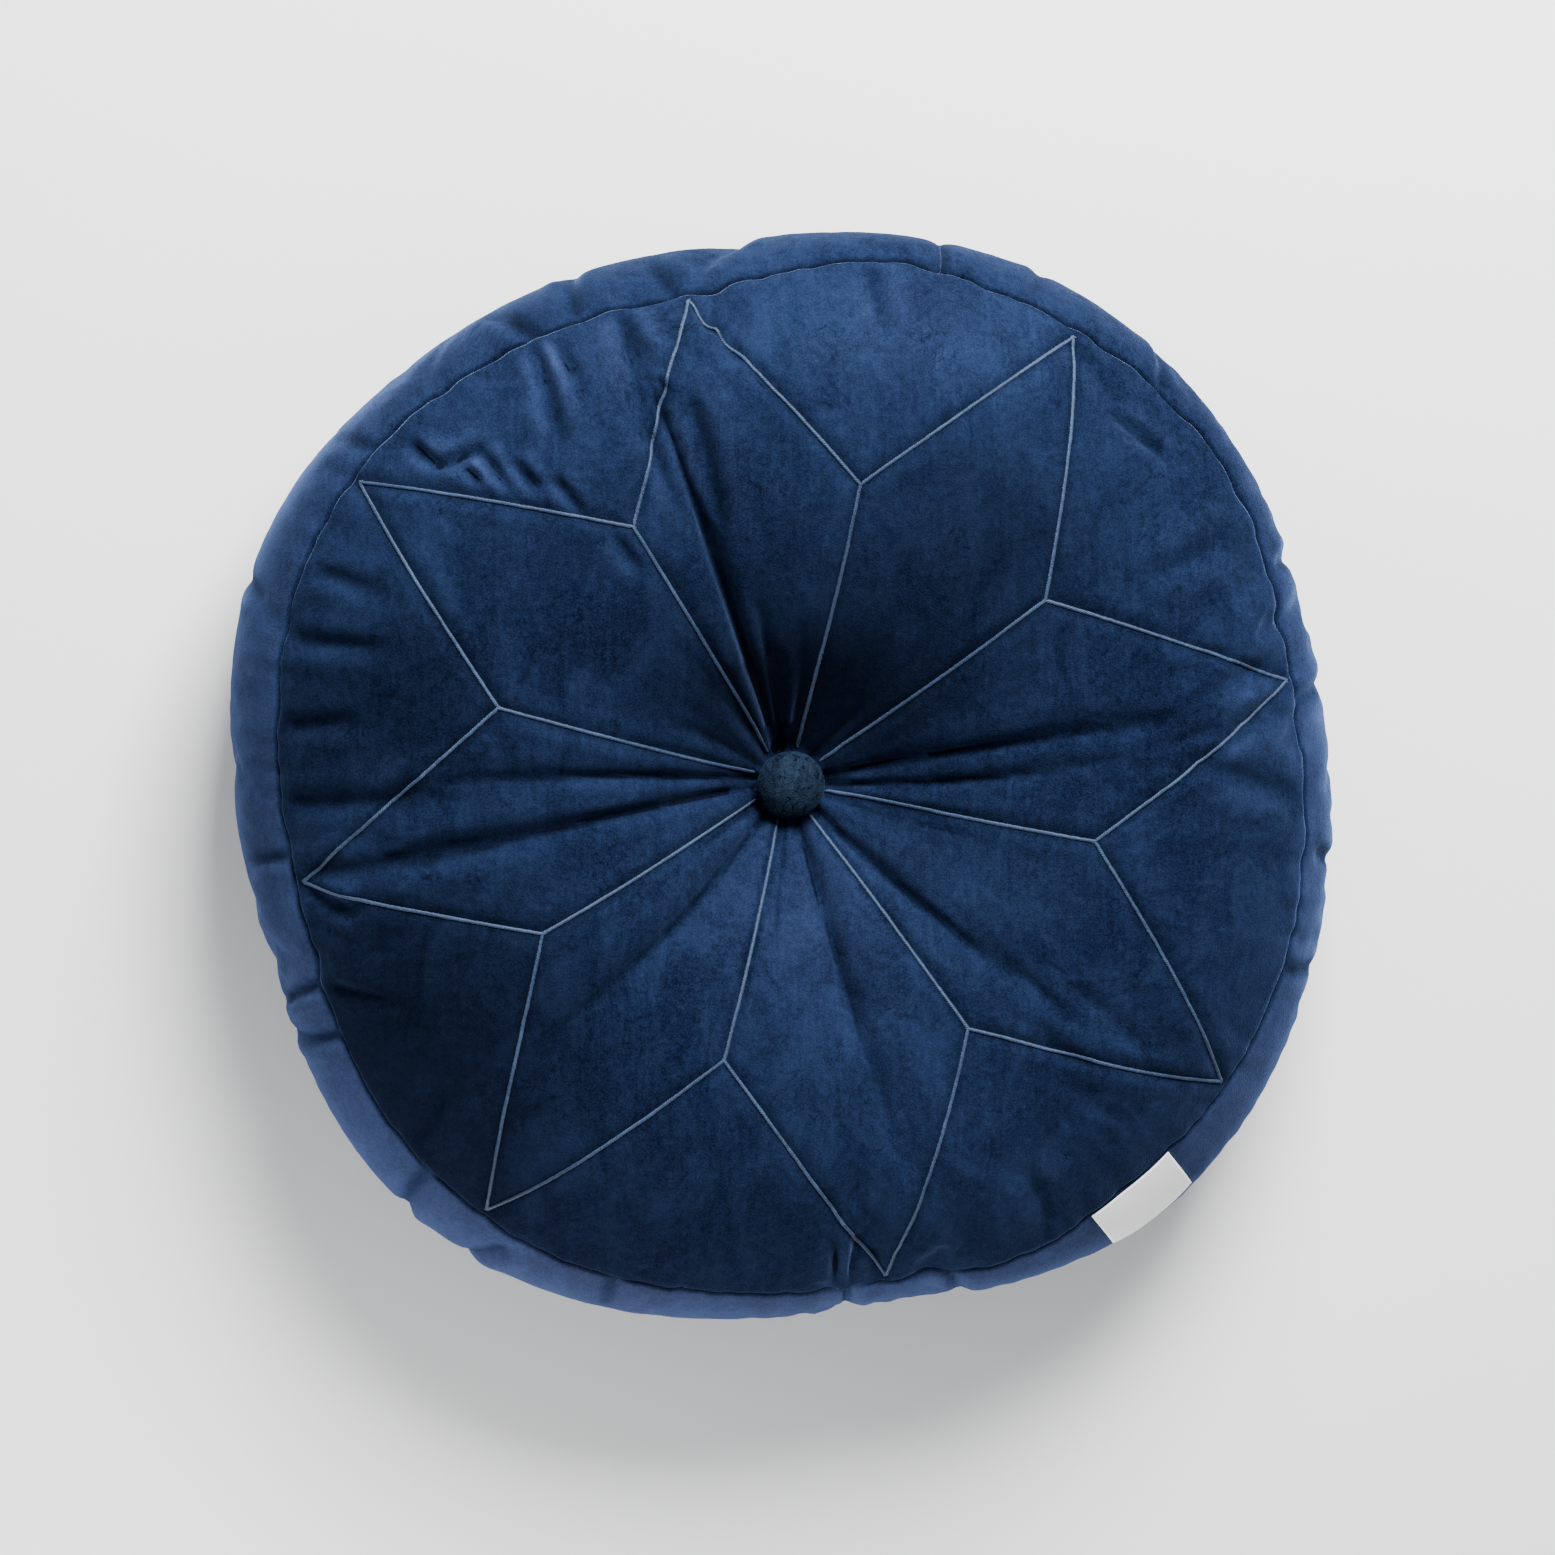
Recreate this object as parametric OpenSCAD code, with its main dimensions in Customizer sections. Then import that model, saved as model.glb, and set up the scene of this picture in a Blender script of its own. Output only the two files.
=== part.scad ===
// Round velvet floor cushion with a sewn-in side band, an embroidered eight-petal
// flower and a covered tufting button on each face, tied together through the fill.
// Origin: on the floor under the middle of the cushion. +Z up, one petal tip near +X.

/* [Cushion] */
// Radius of the two seams, before the cloth stretches along its bias
seam_r = 237.5; // [200:0.5:280]
// Height of the bottom seam above the floor
bottom_seam_z = 22; // [18:1:28]
// Height of the side band from seam to seam
band_h = 76; // [66:1:86]
// How far the side band bulges past the seams
band_bulge = 19; // [12:1:24]
// Height of the crown above the top seam
crown_h = 30; // [26:1:36]
// Radius at which the crown is highest
crown_r = 147; // [130:1:160]
// Depth of the top pit, from the crown to the cloth under the button
top_pit = 44; // [38:1:48]
// Depth of the bottom pit, from the floor up to the cloth over the button
bottom_pit = 24; // [22:1:26]

/* [Outline] */
// How far the four bias corners stretch out of a true circle
bias_lobe = 6.5; // [0:0.5:8]
// Bearing of the first bias corner
bias_bearing = 55; // [0:1:90]
// How much wider the outline is along X than along Y, each way
oval_lobe = 1.7; // [0:0.1:3]

/* [Cloth] */
// Thickness of the velvet with its pile
cloth_t = 1.2; // [0.8:0.1:1.6]
// Width of the turned-in seam allowance
allowance = 10; // [6:1:12]
// Bearing of the front join between the two strips of the side band
front_join = -83.75; // [-100:1.25:-70]
// Bearing of their back join
back_join = 73.75; // [60:1.25:110]

/* [Embroidery] */
// Number of petals
petals = 8; // [8]
// Bearing of the first petal tip
tip_bearing = 11; // [0:1:44]
// Radius of the notches between the petals
notch_r = 139; // [110:1:160]
// Width of the embroidered cord
stitch_w = 2.2; // [1.4:0.1:3]

/* [Button] */
// Diameter of the covered button
button_d = 31; // [26:1:34]
// Height of the covered button
button_h = 11; // [8:0.5:13]
// Diameter of the wire of its loop
wire_d = 1.2; // [0.8:0.1:1.4]
// Diameter of the tufting twine
twine_d = 1.6; // [1:0.1:2]

/* [Label] */
// Bearing of the label on the top seam
label_bearing = -50; // [-70:1:-30]
// Width of the label along the seam
label_w = 46; // [30:1:60]
// How far down the side band the label reaches
label_drop = 34; // [14:1:38]

/* [Hidden] */
petal_names = [for (i = [1:petals]) str("petal_stitch_", i)];

velvet = [0.09, 0.15, 0.30];
pale_thread = [0.42, 0.53, 0.72];
dark_thread = [0.05, 0.08, 0.18];
natural = [0.90, 0.89, 0.85];
steel = [0.70, 0.71, 0.73];

rim_steps = 72;                          // sides of the outline
clear = 0.5;                             // gap between neighbouring solids
top_seam_z = bottom_seam_z + band_h;
crown_z = top_seam_z + crown_h;
top_pit_z = crown_z - top_pit;
hole_r = 5.5;                            // slit in the cloth for the button's loop
pit_r = button_d / 2;
rest_in = 92;                            // inner and outer radius of the flat underside
rest_out = 176;
seam_gap = 0.75;                         // half the open groove at a seam
fold = 2.5;                              // where the allowance leaves the cloth above it

band_mid_z = (top_seam_z + bottom_seam_z) / 2;
band_arc_r = (pow(band_h / 2, 2) + pow(band_bulge, 2)) / (2 * band_bulge);
band_arc_c = [seam_r + band_bulge - band_arc_r, band_mid_z];
band_arc_a = asin((band_h / 2 - seam_gap) / band_arc_r);

// Outline

// Outward stretch of the rim at a bearing
function stretch(a) = bias_lobe * cos(4 * (a - bias_bearing)) + oval_lobe * cos(2 * a);

// A point [radius, height] of the section, placed at a bearing on the stretched outline
function at(p, a) =
    let (r = p.x + stretch(a) * pow(min(1, p.x / seam_r), 2))
    [r * cos(a), r * sin(a), p.y];

// Direction along the rim at a bearing
function along(a) =
    let (d = at([seam_r, 0], a + 0.5) - at([seam_r, 0], a - 0.5))
    d / norm(d);

function arc(c, r, from, to, n) =
    [for (i = [0:n]) let (a = from + (to - from) * i / n) c + r * [cos(a), sin(a)]];

function steps(from, to, n) = [for (i = [0:n]) from + (to - from) * i / n];

function backwards(list) = [for (i = [len(list) - 1:-1:0]) list[i]];

// A closed section swept round the outline between two bearings. The two ends of a part turn
// are closed by strips, so there point j of the section lies across its wall from point n - 1 - j.
module swept(section, from = 0, to = 360) {
    n = len(section);
    whole = to - from >= 360;
    count = max(1, round(rim_steps * (to - from) / 360));
    rings = whole ? count : count + 1;
    points = [for (k = [0:rings - 1], p = section) at(p, from + (to - from) * k / count)];
    sides = [for (k = [0:count - 1], j = [0:n - 1])
        let (here = k * n, next = ((k + 1) % rings) * n, up = (j + 1) % n)
        each [[here + j, here + up, next + up], [here + j, next + up, next + j]]];
    last = count * n;
    caps = whole ? [] : [for (j = [0:n / 2 - 2])
        let (far = n - 1 - j)
        each [[far, far - 1, j + 1], [far, j + 1, j],
              [last + j, last + j + 1, last + far - 1], [last + j, last + far - 1, last + far]]];
    polyhedron(points, concat(sides, caps));
}

// Surfaces of the two faces

// Height of the top face at a radius: a pit under the button, a crown, then down to the seam
function top_z(r) =
    r > crown_r
        ? top_seam_z + seam_gap + (crown_h - seam_gap)
            * (1 - pow((r - crown_r) / (seam_r - crown_r), 2.5))
    : r > pit_r
        ? top_pit_z + top_pit * sin(90 * (r - pit_r) / (crown_r - pit_r))
    : top_pit_z;

// Height of the bottom face at a radius: a pit over the button, flat where it rests, then up to the seam
function bottom_z(r) =
    r > rest_out
        ? (bottom_seam_z - seam_gap) * pow((r - rest_out) / (seam_r - rest_out), 2)
    : r > rest_in
        ? 0
    : r > pit_r
        ? bottom_pit * pow((rest_in - r) / (rest_in - pit_r), 1.6)
    : bottom_pit;

top_radii = concat([hole_r], steps(pit_r, crown_r, 8), steps(crown_r + 15, seam_r - fold - 2, 5));
bottom_radii = concat([hole_r], steps(pit_r, rest_in, 6), steps(rest_out, seam_r - fold - 2, 4));

// The turned-in allowance of a face panel, from the seam inwards; side is 1 on top and -1 below
function panel_allowance(z, side) = [
    [seam_r, z + side * seam_gap],
    [seam_r - allowance, z + side * (seam_gap - 0.4)],
    [seam_r - allowance, z + side * (seam_gap - 0.4 + cloth_t / 2)],
    [seam_r - fold, z + side * (seam_gap + cloth_t / 2)]];

// One side of the turned-in allowance of the side band, from its edge out to the seam
function band_allowance(z, side, depth) = [
    [seam_r - allowance, z - side * (seam_gap - 0.4 + depth)],
    [seam_r - fold, z - side * (seam_gap - 0.1 + depth)]];

// Cover

module top_panel() {
    color(velvet) swept(backwards(concat(
        [for (r = top_radii) [r, top_z(r)]],
        panel_allowance(top_seam_z, 1),
        [for (r = backwards(top_radii)) [r, top_z(r) - cloth_t * 1.2]])));
}

module bottom_panel() {
    color(velvet) swept(concat(
        [for (r = bottom_radii) [r, bottom_z(r)]],
        panel_allowance(bottom_seam_z, -1),
        [for (r = backwards(bottom_radii)) [r, bottom_z(r) + cloth_t * 1.2]]));
}

// One strip of the side band, ending just short of the two joins
module band(from, to) {
    color(velvet) swept(concat(
        band_allowance(bottom_seam_z, -1, 0),
        arc(band_arc_c, band_arc_r, -band_arc_a, band_arc_a, 10),
        backwards(band_allowance(top_seam_z, 1, 0)),
        band_allowance(top_seam_z, 1, cloth_t / 2),
        arc(band_arc_c, band_arc_r - cloth_t, band_arc_a, -band_arc_a, 10),
        backwards(band_allowance(bottom_seam_z, -1, cloth_t / 2))), from, to);
}

join_half = 0.2;                         // half the gap at a join of the band, in degrees

module band_right() {
    band(front_join + join_half, back_join - join_half);
}

module band_left() {
    band(back_join + join_half, front_join + 360 - join_half);
}

// Threads

thread_r = 0.35;
join_thread_half = 0.1;                  // half the width of a join's thread, in degrees
closing_from = 96;                       // bearings of the hand-closed stretch of the bottom seam
closing_to = 136;
closing_count = 28;

// Seam thread lying in the groove of a seam, between two bearings
module seam_thread(z, from = 0, to = 360) {
    color(dark_thread) swept(arc([seam_r - thread_r, z], thread_r, 0, 270, 3), from, to);
}

// Thread that closes each join of the side band, running up behind the cloth
module band_join_threads() {
    outside = band_arc_r - cloth_t - 0.15;
    reach = band_arc_a - 4;
    color(dark_thread) for (a = [front_join, back_join])
        swept(concat(
            arc(band_arc_c, outside, -reach, reach, 8),
            arc(band_arc_c, outside - 2 * thread_r, reach, -reach, 8)),
            a - join_thread_half, a + join_thread_half);
}

// Slip stitches that close the opening that the fill went in by
module closing_stitches() {
    pitch = (closing_to - closing_from) / closing_count;
    color(dark_thread) for (i = [0:closing_count - 1]) {
        a = closing_from + (i + 0.5) * pitch;
        translate(at([seam_r + 0.9, bottom_seam_z], a))
            rotate([0, 0, a]) rotate([90, 0, 0])
                cylinder(r = 0.3, h = 4, center = true, $fn = 24);
    }
}

// Fill and twine

channel_r = 8;                           // channel through the fill for the loops and the twine
fill_in = cloth_t * 1.2 + clear;
fill_edge = seam_r - allowance - 1.5;    // the fill keeps clear of the allowances

module fibre_fill() {
    top = concat([channel_r], [for (r = top_radii) if (r > channel_r && r < fill_edge) r]);
    low = concat([channel_r], [for (r = bottom_radii) if (r > channel_r && r < fill_edge) r]);
    side = band_arc_r - cloth_t - 2 * clear;
    edge_a = asin((band_h / 2 - 4) / side);
    color(natural) swept(concat(
        [for (r = low) [r, bottom_z(r) + fill_in]],
        [[fill_edge, bottom_seam_z + 3.4]],
        arc(band_arc_c, side, -edge_a, edge_a, 10),
        [[fill_edge, top_seam_z - 3.4]],
        [for (r = backwards(top)) [r, top_z(r) - fill_in]]));
}

loop_reach = 9;                          // from the cloth to the middle of the loop's end
loop_w = 7.4;                            // width of the loop between wire middles
twine_w = 5;                             // width of the twine's ring between strand middles
knot_r = 2.1;

// Twine tied in a ring through both loops, with its knot on one strand
module tufting_twine() {
    hook = wire_d / 2 + twine_d / 2 + 0.2;
    high = top_pit_z - loop_reach + hook - twine_w / 2;
    low = bottom_pit + loop_reach - hook + twine_w / 2;
    color(natural) {
        for (y = [-twine_w / 2, twine_w / 2]) translate([0, y, low])
            cylinder(d = twine_d, h = high - low, $fn = 24);
        twine_bend(high, 0);
        twine_bend(low, 180);
        translate([0, twine_w / 2, (high + low) / 2]) sphere(r = knot_r, $fn = 24);
    }
}

// Half turn of the twine where it passes through a loop
module twine_bend(z, turn) {
    translate([0, 0, z]) rotate([0, 0, 90]) rotate([90 + turn, 0, 0])
        rotate_extrude(angle = 180, $fn = 48)
            translate([twine_w / 2, 0]) circle(d = twine_d, $fn = 24);
}

// Embroidery

turn = 360 / petals;
tip_r = seam_r - 4;
spoke_from = pit_r + 2.5;

function polar(r, a) = r * [cos(a), sin(a)];

// The cord of petal i: out along its spoke, round the tip and back to the next spoke
function petal_path(i) =
    let (tip = polar(tip_r, tip_bearing + i * turn),
         notch = polar(notch_r, tip_bearing + (i - 0.5) * turn),
         next = polar(notch_r, tip_bearing + (i + 0.5) * turn),
         home = (next - tip) / norm(next - tip),
         end = next - home * stitch_w * 1.3)
    concat(
        [for (t = steps(0, 0.9, 9)) polar(spoke_from, tip_bearing + (i - 0.5) * turn) * (1 - t) + notch * t],
        [for (t = steps(0, 0.9, 9)) notch * (1 - t) + tip * t],
        [for (t = steps(0, 1, 10)) tip * (1 - t) + end * t]);

// A flat pattern point raised onto the top face
function on_top(p, lift) =
    at([norm(p), top_z(norm(p)) + lift], atan2(p.y, p.x));

// Sideways vector at point k of a path, mitred at its corners
function mitre(path, k) =
    let (a = path[max(0, k - 1)], b = path[k], c = path[min(len(path) - 1, k + 1)],
         u = b == a ? (c - b) / norm(c - b) : (b - a) / norm(b - a),
         v = c == b ? u : (c - b) / norm(c - b),
         m = (u + v) / norm(u + v))
    [-m.y, m.x] / (m * u);

module petal_stitch(i) {
    path = petal_path(i);
    half = stitch_w / 2;
    n = len(path);
    points = [for (k = [0:n - 1])
        let (s = mitre(path, k) * half)
        each [on_top(path[k] + s, -0.5), on_top(path[k] + s * 0.6, 0.9),
              on_top(path[k] - s * 0.6, 0.9), on_top(path[k] - s, -0.5)]];
    sides = [for (k = [0:n - 2], j = [0:3])
        let (a = 4 * k + j, b = 4 * k + (j + 1) % 4)
        each [[a, b, b + 4], [a, b + 4, a + 4]]];
    color(pale_thread)
        polyhedron(points, concat(sides, [[3, 2, 1, 0], [for (j = [0:3]) 4 * (n - 1) + j]]));
}

// Buttons

shell_t = 0.4;
edge_r = 3;                              // roundness of the button's rim
edge_x = button_d / 2 - edge_r;          // middle of the rim's round
cap_rise = button_h - edge_r;
cap_r = (pow(edge_x, 2) + pow(cap_rise, 2) - pow(edge_r, 2)) / (2 * (cap_rise - edge_r));
cap_z = button_h - cap_r;                // middle of the dome, which runs tangent into the rim
meet = [edge_x, edge_r - cap_z] / norm([edge_x, edge_r - cap_z]);

// Half section of the button's outer shape, taken in by an amount
module dome(taken_in) {
    meet_x = meet.x * (cap_r - taken_in);
    meet_z = cap_z + meet.y * (cap_r - taken_in);
    intersection() {
        union() {
            translate([edge_x, edge_r]) circle(r = edge_r - taken_in, $fn = 64);
            square([edge_x, edge_r]);
            translate([0, edge_r]) square([meet_x, meet_z - edge_r]);
            intersection() {
                translate([0, cap_z]) circle(r = cap_r - taken_in, $fn = 180);
                translate([0, meet_z]) square([meet_x, button_h]);
            }
        }
        translate([0, taken_in]) square([button_d, button_h]);
    }
}

// Velvet stretched over the shell and turned under its rim
module button_cover() {
    color(velvet) rotate_extrude($fn = 96) difference() {
        dome(0);
        dome(cloth_t);
        square([button_d / 2 - 4.5, cloth_t + 0.01]);
    }
}

// Half section of the pressed dome and its skirt, down to a foot
module pressed(r, cap, foot) {
    intersection() {
        translate([0, cap_z]) circle(r = cap, $fn = 96);
        translate([0, foot]) square([r, button_h]);
    }
}

// Pressed steel dome under the velvet
module button_shell() {
    skirt_r = button_d / 2 - cloth_t - 0.3;
    top_r = cap_r - cloth_t - 0.15;
    color(steel) rotate_extrude($fn = 96) difference() {
        pressed(skirt_r, top_r, edge_r - 0.7);
        pressed(skirt_r - shell_t, top_r - shell_t, 0);
    }
}

back_d = button_d - 9.6;
back_t = 0.6;

// Steel back plate that holds the turned-under velvet, with two holes for the loop
module button_back() {
    color(steel) difference() {
        translate([0, 0, 0.3]) cylinder(d = back_d, h = back_t, $fn = 64);
        for (x = [-loop_w / 2, loop_w / 2])
            translate([x, 0, -1]) cylinder(d = wire_d + 0.1, h = 4, $fn = 32);
    }
}

// Wire loop that hangs from the back plate
module button_loop() {
    leg = loop_reach + clear - loop_w / 2;
    color(steel) {
        for (x = [-loop_w / 2, loop_w / 2]) translate([x, 0, -leg])
            cylinder(d = wire_d, h = leg + 2.2, $fn = 32);
        translate([0, 0, -leg]) rotate([-90, 0, 0])
            rotate_extrude(angle = 180, $fn = 64)
                translate([loop_w / 2, 0]) circle(d = wire_d, $fn = 32);
    }
}

// Places a button part on the top face, or turned over on the bottom face
module on_top_face() { translate([0, 0, top_pit_z + clear]) children(); }
module on_bottom_face() { translate([0, 0, bottom_pit - clear]) rotate([180, 0, 0]) children(); }

// Label

label_t = 0.5;
label_gap = 1.5;                         // from the hinge line to the label's sewn end

// Woven label hanging from the top seam over the side band
module side_label() {
    dir = along(label_bearing);
    root = at([seam_r + 1.2, top_seam_z], label_bearing);
    inner = band_arc_r + 0.9;
    from = band_arc_a - label_gap * 0.8;
    to = from - label_drop / inner * 180 / PI;
    centre = band_arc_c - [seam_r + 1.2, top_seam_z];
    color(natural) translate(root)
        multmatrix([[dir.y, dir.x, 0, 0], [-dir.x, dir.y, 0, 0], [0, 0, 1, 0]])
            rotate([90, 0, 0]) linear_extrude(height = label_w, center = true)
                polygon(concat(
                    arc(centre, inner, from, to, 8),
                    arc(centre, inner + label_t, to, from, 8)));
}

// Assembly

top_panel();
bottom_panel();
band_left();
band_right();
seam_thread(top_seam_z);  // top_seam_thread
seam_thread(bottom_seam_z, closing_to, closing_from + 360);  // bottom_seam_thread
band_join_threads();
closing_stitches();
fibre_fill();
tufting_twine();
side_label();
for (i = [0:petals - 1])
    petal_stitch(i);
on_top_face() button_cover();  // top_button_cover
on_top_face() button_shell();  // top_button_shell
on_top_face() button_back();  // top_button_back
on_top_face() button_loop();  // top_button_loop
on_bottom_face() button_cover();  // bottom_button_cover
on_bottom_face() button_shell();  // bottom_button_shell
on_bottom_face() button_back();  // bottom_button_back
on_bottom_face() button_loop();  // bottom_button_loop
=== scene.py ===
import math
import bpy
import numpy as np
from mathutils import Matrix, Vector, noise


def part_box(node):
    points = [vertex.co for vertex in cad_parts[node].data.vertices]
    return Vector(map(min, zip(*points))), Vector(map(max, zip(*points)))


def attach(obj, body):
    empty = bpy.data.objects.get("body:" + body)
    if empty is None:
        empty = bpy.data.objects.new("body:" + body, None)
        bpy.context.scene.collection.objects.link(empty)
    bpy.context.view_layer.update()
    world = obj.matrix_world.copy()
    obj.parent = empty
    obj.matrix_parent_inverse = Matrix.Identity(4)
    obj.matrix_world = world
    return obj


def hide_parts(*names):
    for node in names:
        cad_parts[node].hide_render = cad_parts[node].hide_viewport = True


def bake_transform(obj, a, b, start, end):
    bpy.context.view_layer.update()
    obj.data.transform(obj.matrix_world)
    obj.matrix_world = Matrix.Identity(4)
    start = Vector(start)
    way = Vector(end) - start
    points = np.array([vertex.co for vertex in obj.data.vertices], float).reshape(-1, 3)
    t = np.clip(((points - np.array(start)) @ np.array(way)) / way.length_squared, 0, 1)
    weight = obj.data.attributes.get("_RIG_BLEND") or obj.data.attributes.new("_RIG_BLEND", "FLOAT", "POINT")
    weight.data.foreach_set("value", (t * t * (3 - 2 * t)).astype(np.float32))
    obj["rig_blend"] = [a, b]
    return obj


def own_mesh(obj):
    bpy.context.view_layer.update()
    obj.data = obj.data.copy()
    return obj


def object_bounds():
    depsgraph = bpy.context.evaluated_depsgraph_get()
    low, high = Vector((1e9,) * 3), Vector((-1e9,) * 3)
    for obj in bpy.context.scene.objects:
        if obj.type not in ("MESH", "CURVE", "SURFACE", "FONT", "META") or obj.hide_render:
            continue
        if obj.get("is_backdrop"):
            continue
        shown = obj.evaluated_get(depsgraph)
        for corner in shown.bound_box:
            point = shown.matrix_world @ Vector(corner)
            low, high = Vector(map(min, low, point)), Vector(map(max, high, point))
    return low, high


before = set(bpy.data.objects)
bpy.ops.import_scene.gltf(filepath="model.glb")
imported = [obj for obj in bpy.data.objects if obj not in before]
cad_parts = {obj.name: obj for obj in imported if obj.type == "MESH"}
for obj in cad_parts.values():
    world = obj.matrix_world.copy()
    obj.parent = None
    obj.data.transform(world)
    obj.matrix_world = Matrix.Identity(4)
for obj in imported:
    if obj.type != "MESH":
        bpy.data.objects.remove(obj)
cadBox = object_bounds()

# heights that the frame gives
topSeam = (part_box("top_seam_thread")[0][2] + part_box("top_seam_thread")[1][2]) / 2
bottomSeam = (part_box("bottom_seam_thread")[0][2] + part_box("bottom_seam_thread")[1][2]) / 2
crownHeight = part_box("top_panel")[1][2]
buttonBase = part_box("top_button_cover")[0][2]
buttonRadius = (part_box("top_button_cover")[1][0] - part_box("top_button_cover")[0][0]) / 2
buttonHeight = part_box("top_button_cover")[1][2] - buttonBase
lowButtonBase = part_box("bottom_button_cover")[1][2]

cushion = {
    "seamRadius": 0.2368,      # of the finished seams, before the bias stretch
    "patternRadius": 0.2545,   # the round panels as they were cut
    "patternBand": 0.0870,     # height of the side band as it was cut
    "bulge": 0.0190,           # side band past the seams
    "crownRadius": 0.1470,
    "biasStretch": 0.0065, "biasBearing": 55.0, "ovalStretch": 0.0030,
    "bottomPit": 0.0240, "restFrom": 0.092, "restTo": 0.176,
    "frontJoin": -83.75, "backJoin": 73.75,
    "cloth": 0.0012,           # thickness
    "allowance": 0.0070,       # cloth turned in at a seam
    "groove": 0.0014, "grooveWidth": 0.0013,
    "pucker": 0.0016,          # spare cloth that stands up along the seams
    "finePucker": 0.0010,
}

blowUp = {
    "columns": 288, "scale": 10, "frames": 15, "pressure": 0.5,
    "fillHold": 0.03,          # how much the fill holds the cloth where it is
    "keepSlow": 0.15,          # share kept of the changes that run slowly round the cushion
    "furthest": 0.014,         # how far the simulation may move a point
    "seamShare": 0.45,         # share of the folds kept right at a seam
    "bandShare": 0.50,         # and on the side band
}

# where the cushion has been pulled out or pushed in: bearing, spread in degrees, metres
seamDrift = [
    (33, 14, 0.0050),
    (81, 14, 0.0080),
    (194, 24, -0.0040),
    (230, 14, -0.0025),
    (276, 14, 0.0040),
    (296, 10, 0.0095),
]
sideDrift = [
    (42, 24, -0.0018),
    (134, 16, -0.0055),
    (176, 14, -0.0022),
    (201, 18, -0.0050),
    (309, 20, 0.0108),
]

finest = 720                   # columns of the finished cover


def smoothStep(x):
    x = np.clip(x, 0.0, 1.0)
    return x * x * (3 - 2 * x)


def stretch(bearing):          # outward stretch of the rim along the bias of the cloth
    return (cushion["biasStretch"] * np.cos(np.radians(4 * (bearing - cushion["biasBearing"])))
            + cushion["ovalStretch"] * np.cos(np.radians(2 * bearing)))


def turned(bearing, middle):   # signed degrees from one bearing to another
    return (bearing - middle + 180) % 360 - 180


def drift(u, bearings):        # the top seam and the side don't lie quite true
    def add(table):
        return sum(amount * np.exp(-(turned(bearings, middle) / wide) ** 2)
                   for middle, wide, amount in table)

    down = (u - rim) / high        # 0 at the top seam, 1 at the bottom seam
    if down < 0:
        atSeam, atSide = (u / rim) ** 2.5, 0.0
    elif down < 1:
        atSeam = float(smoothStep(1 - 2 * down))
        atSide = float(smoothStep(2 * down)) * (1 - 0.4 * max(0.0, 2 * down - 1))
    else:
        atSeam, atSide = 0.0, 0.6 * float(smoothStep(1 - (down - 1) / 0.6))
    return atSeam * add(seamDrift) + atSide * add(sideDrift)


# sections of the cushion, from the middle of the top round to the middle of the underside
def topHeight(r):
    crown, seam = cushion["crownRadius"], cushion["seamRadius"]
    pit = buttonBase - 0.0005
    if r > crown:
        return topSeam + (crownHeight - topSeam) * (1 - ((r - crown) / (seam - crown)) ** 2.5)
    if r > buttonRadius:
        return pit + (crownHeight - pit) * math.sin(math.pi / 2 * (r - buttonRadius) / (crown - buttonRadius))
    return pit


def bottomHeight(r):
    inner, outer, seam = cushion["restFrom"], cushion["restTo"], cushion["seamRadius"]
    if r > outer:
        return bottomSeam * ((r - outer) / (seam - outer)) ** 2
    if r > inner:
        return 0.0
    if r > buttonRadius:
        return cushion["bottomPit"] * ((inner - r) / (inner - buttonRadius)) ** 1.6
    return cushion["bottomPit"]


def section(points):
    points = np.array(points)
    steps = np.hypot(*np.diff(points, axis=0).T)
    run = np.concatenate([[0], np.cumsum(steps)])
    return points, run / run[-1]


def onSection(drawn, share):
    points, run = drawn
    return float(np.interp(share, run, points[:, 0])), float(np.interp(share, run, points[:, 1]))


halfBand = (topSeam - bottomSeam) / 2
bandArc = (halfBand ** 2 + cushion["bulge"] ** 2) / (2 * cushion["bulge"])
bandTurn = math.asin(halfBand / bandArc)
bandMiddle = (cushion["seamRadius"] + cushion["bulge"] - bandArc, (topSeam + bottomSeam) / 2)
topDrawn = section([(r, topHeight(r)) for r in np.linspace(0, cushion["seamRadius"], 240)])
bottomDrawn = section([(r, bottomHeight(r)) for r in np.linspace(0, cushion["seamRadius"], 240)])
bandDrawn = section([(bandMiddle[0] + bandArc * math.cos(a), bandMiddle[1] + bandArc * math.sin(a))
                     for a in np.linspace(bandTurn, -bandTurn, 60)])

rim, high = cushion["patternRadius"], cushion["patternBand"]
whole = 2 * rim + high         # distance over the cloth from the top button to the bottom one


def drawnAt(u):                # radius and height of the plain section at a distance over the cloth
    if u <= rim:
        return onSection(topDrawn, u / rim)
    if u <= rim + high:
        return onSection(bandDrawn, (u - rim) / high)
    return onSection(bottomDrawn, (whole - u) / rim)


def cutAt(u):                  # the same place on the cut cloth: two flat rounds and a straight band
    if u <= rim:
        return u, high
    if u <= rim + high:
        return rim, rim + high - u
    return whole - u, 0.0


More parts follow.
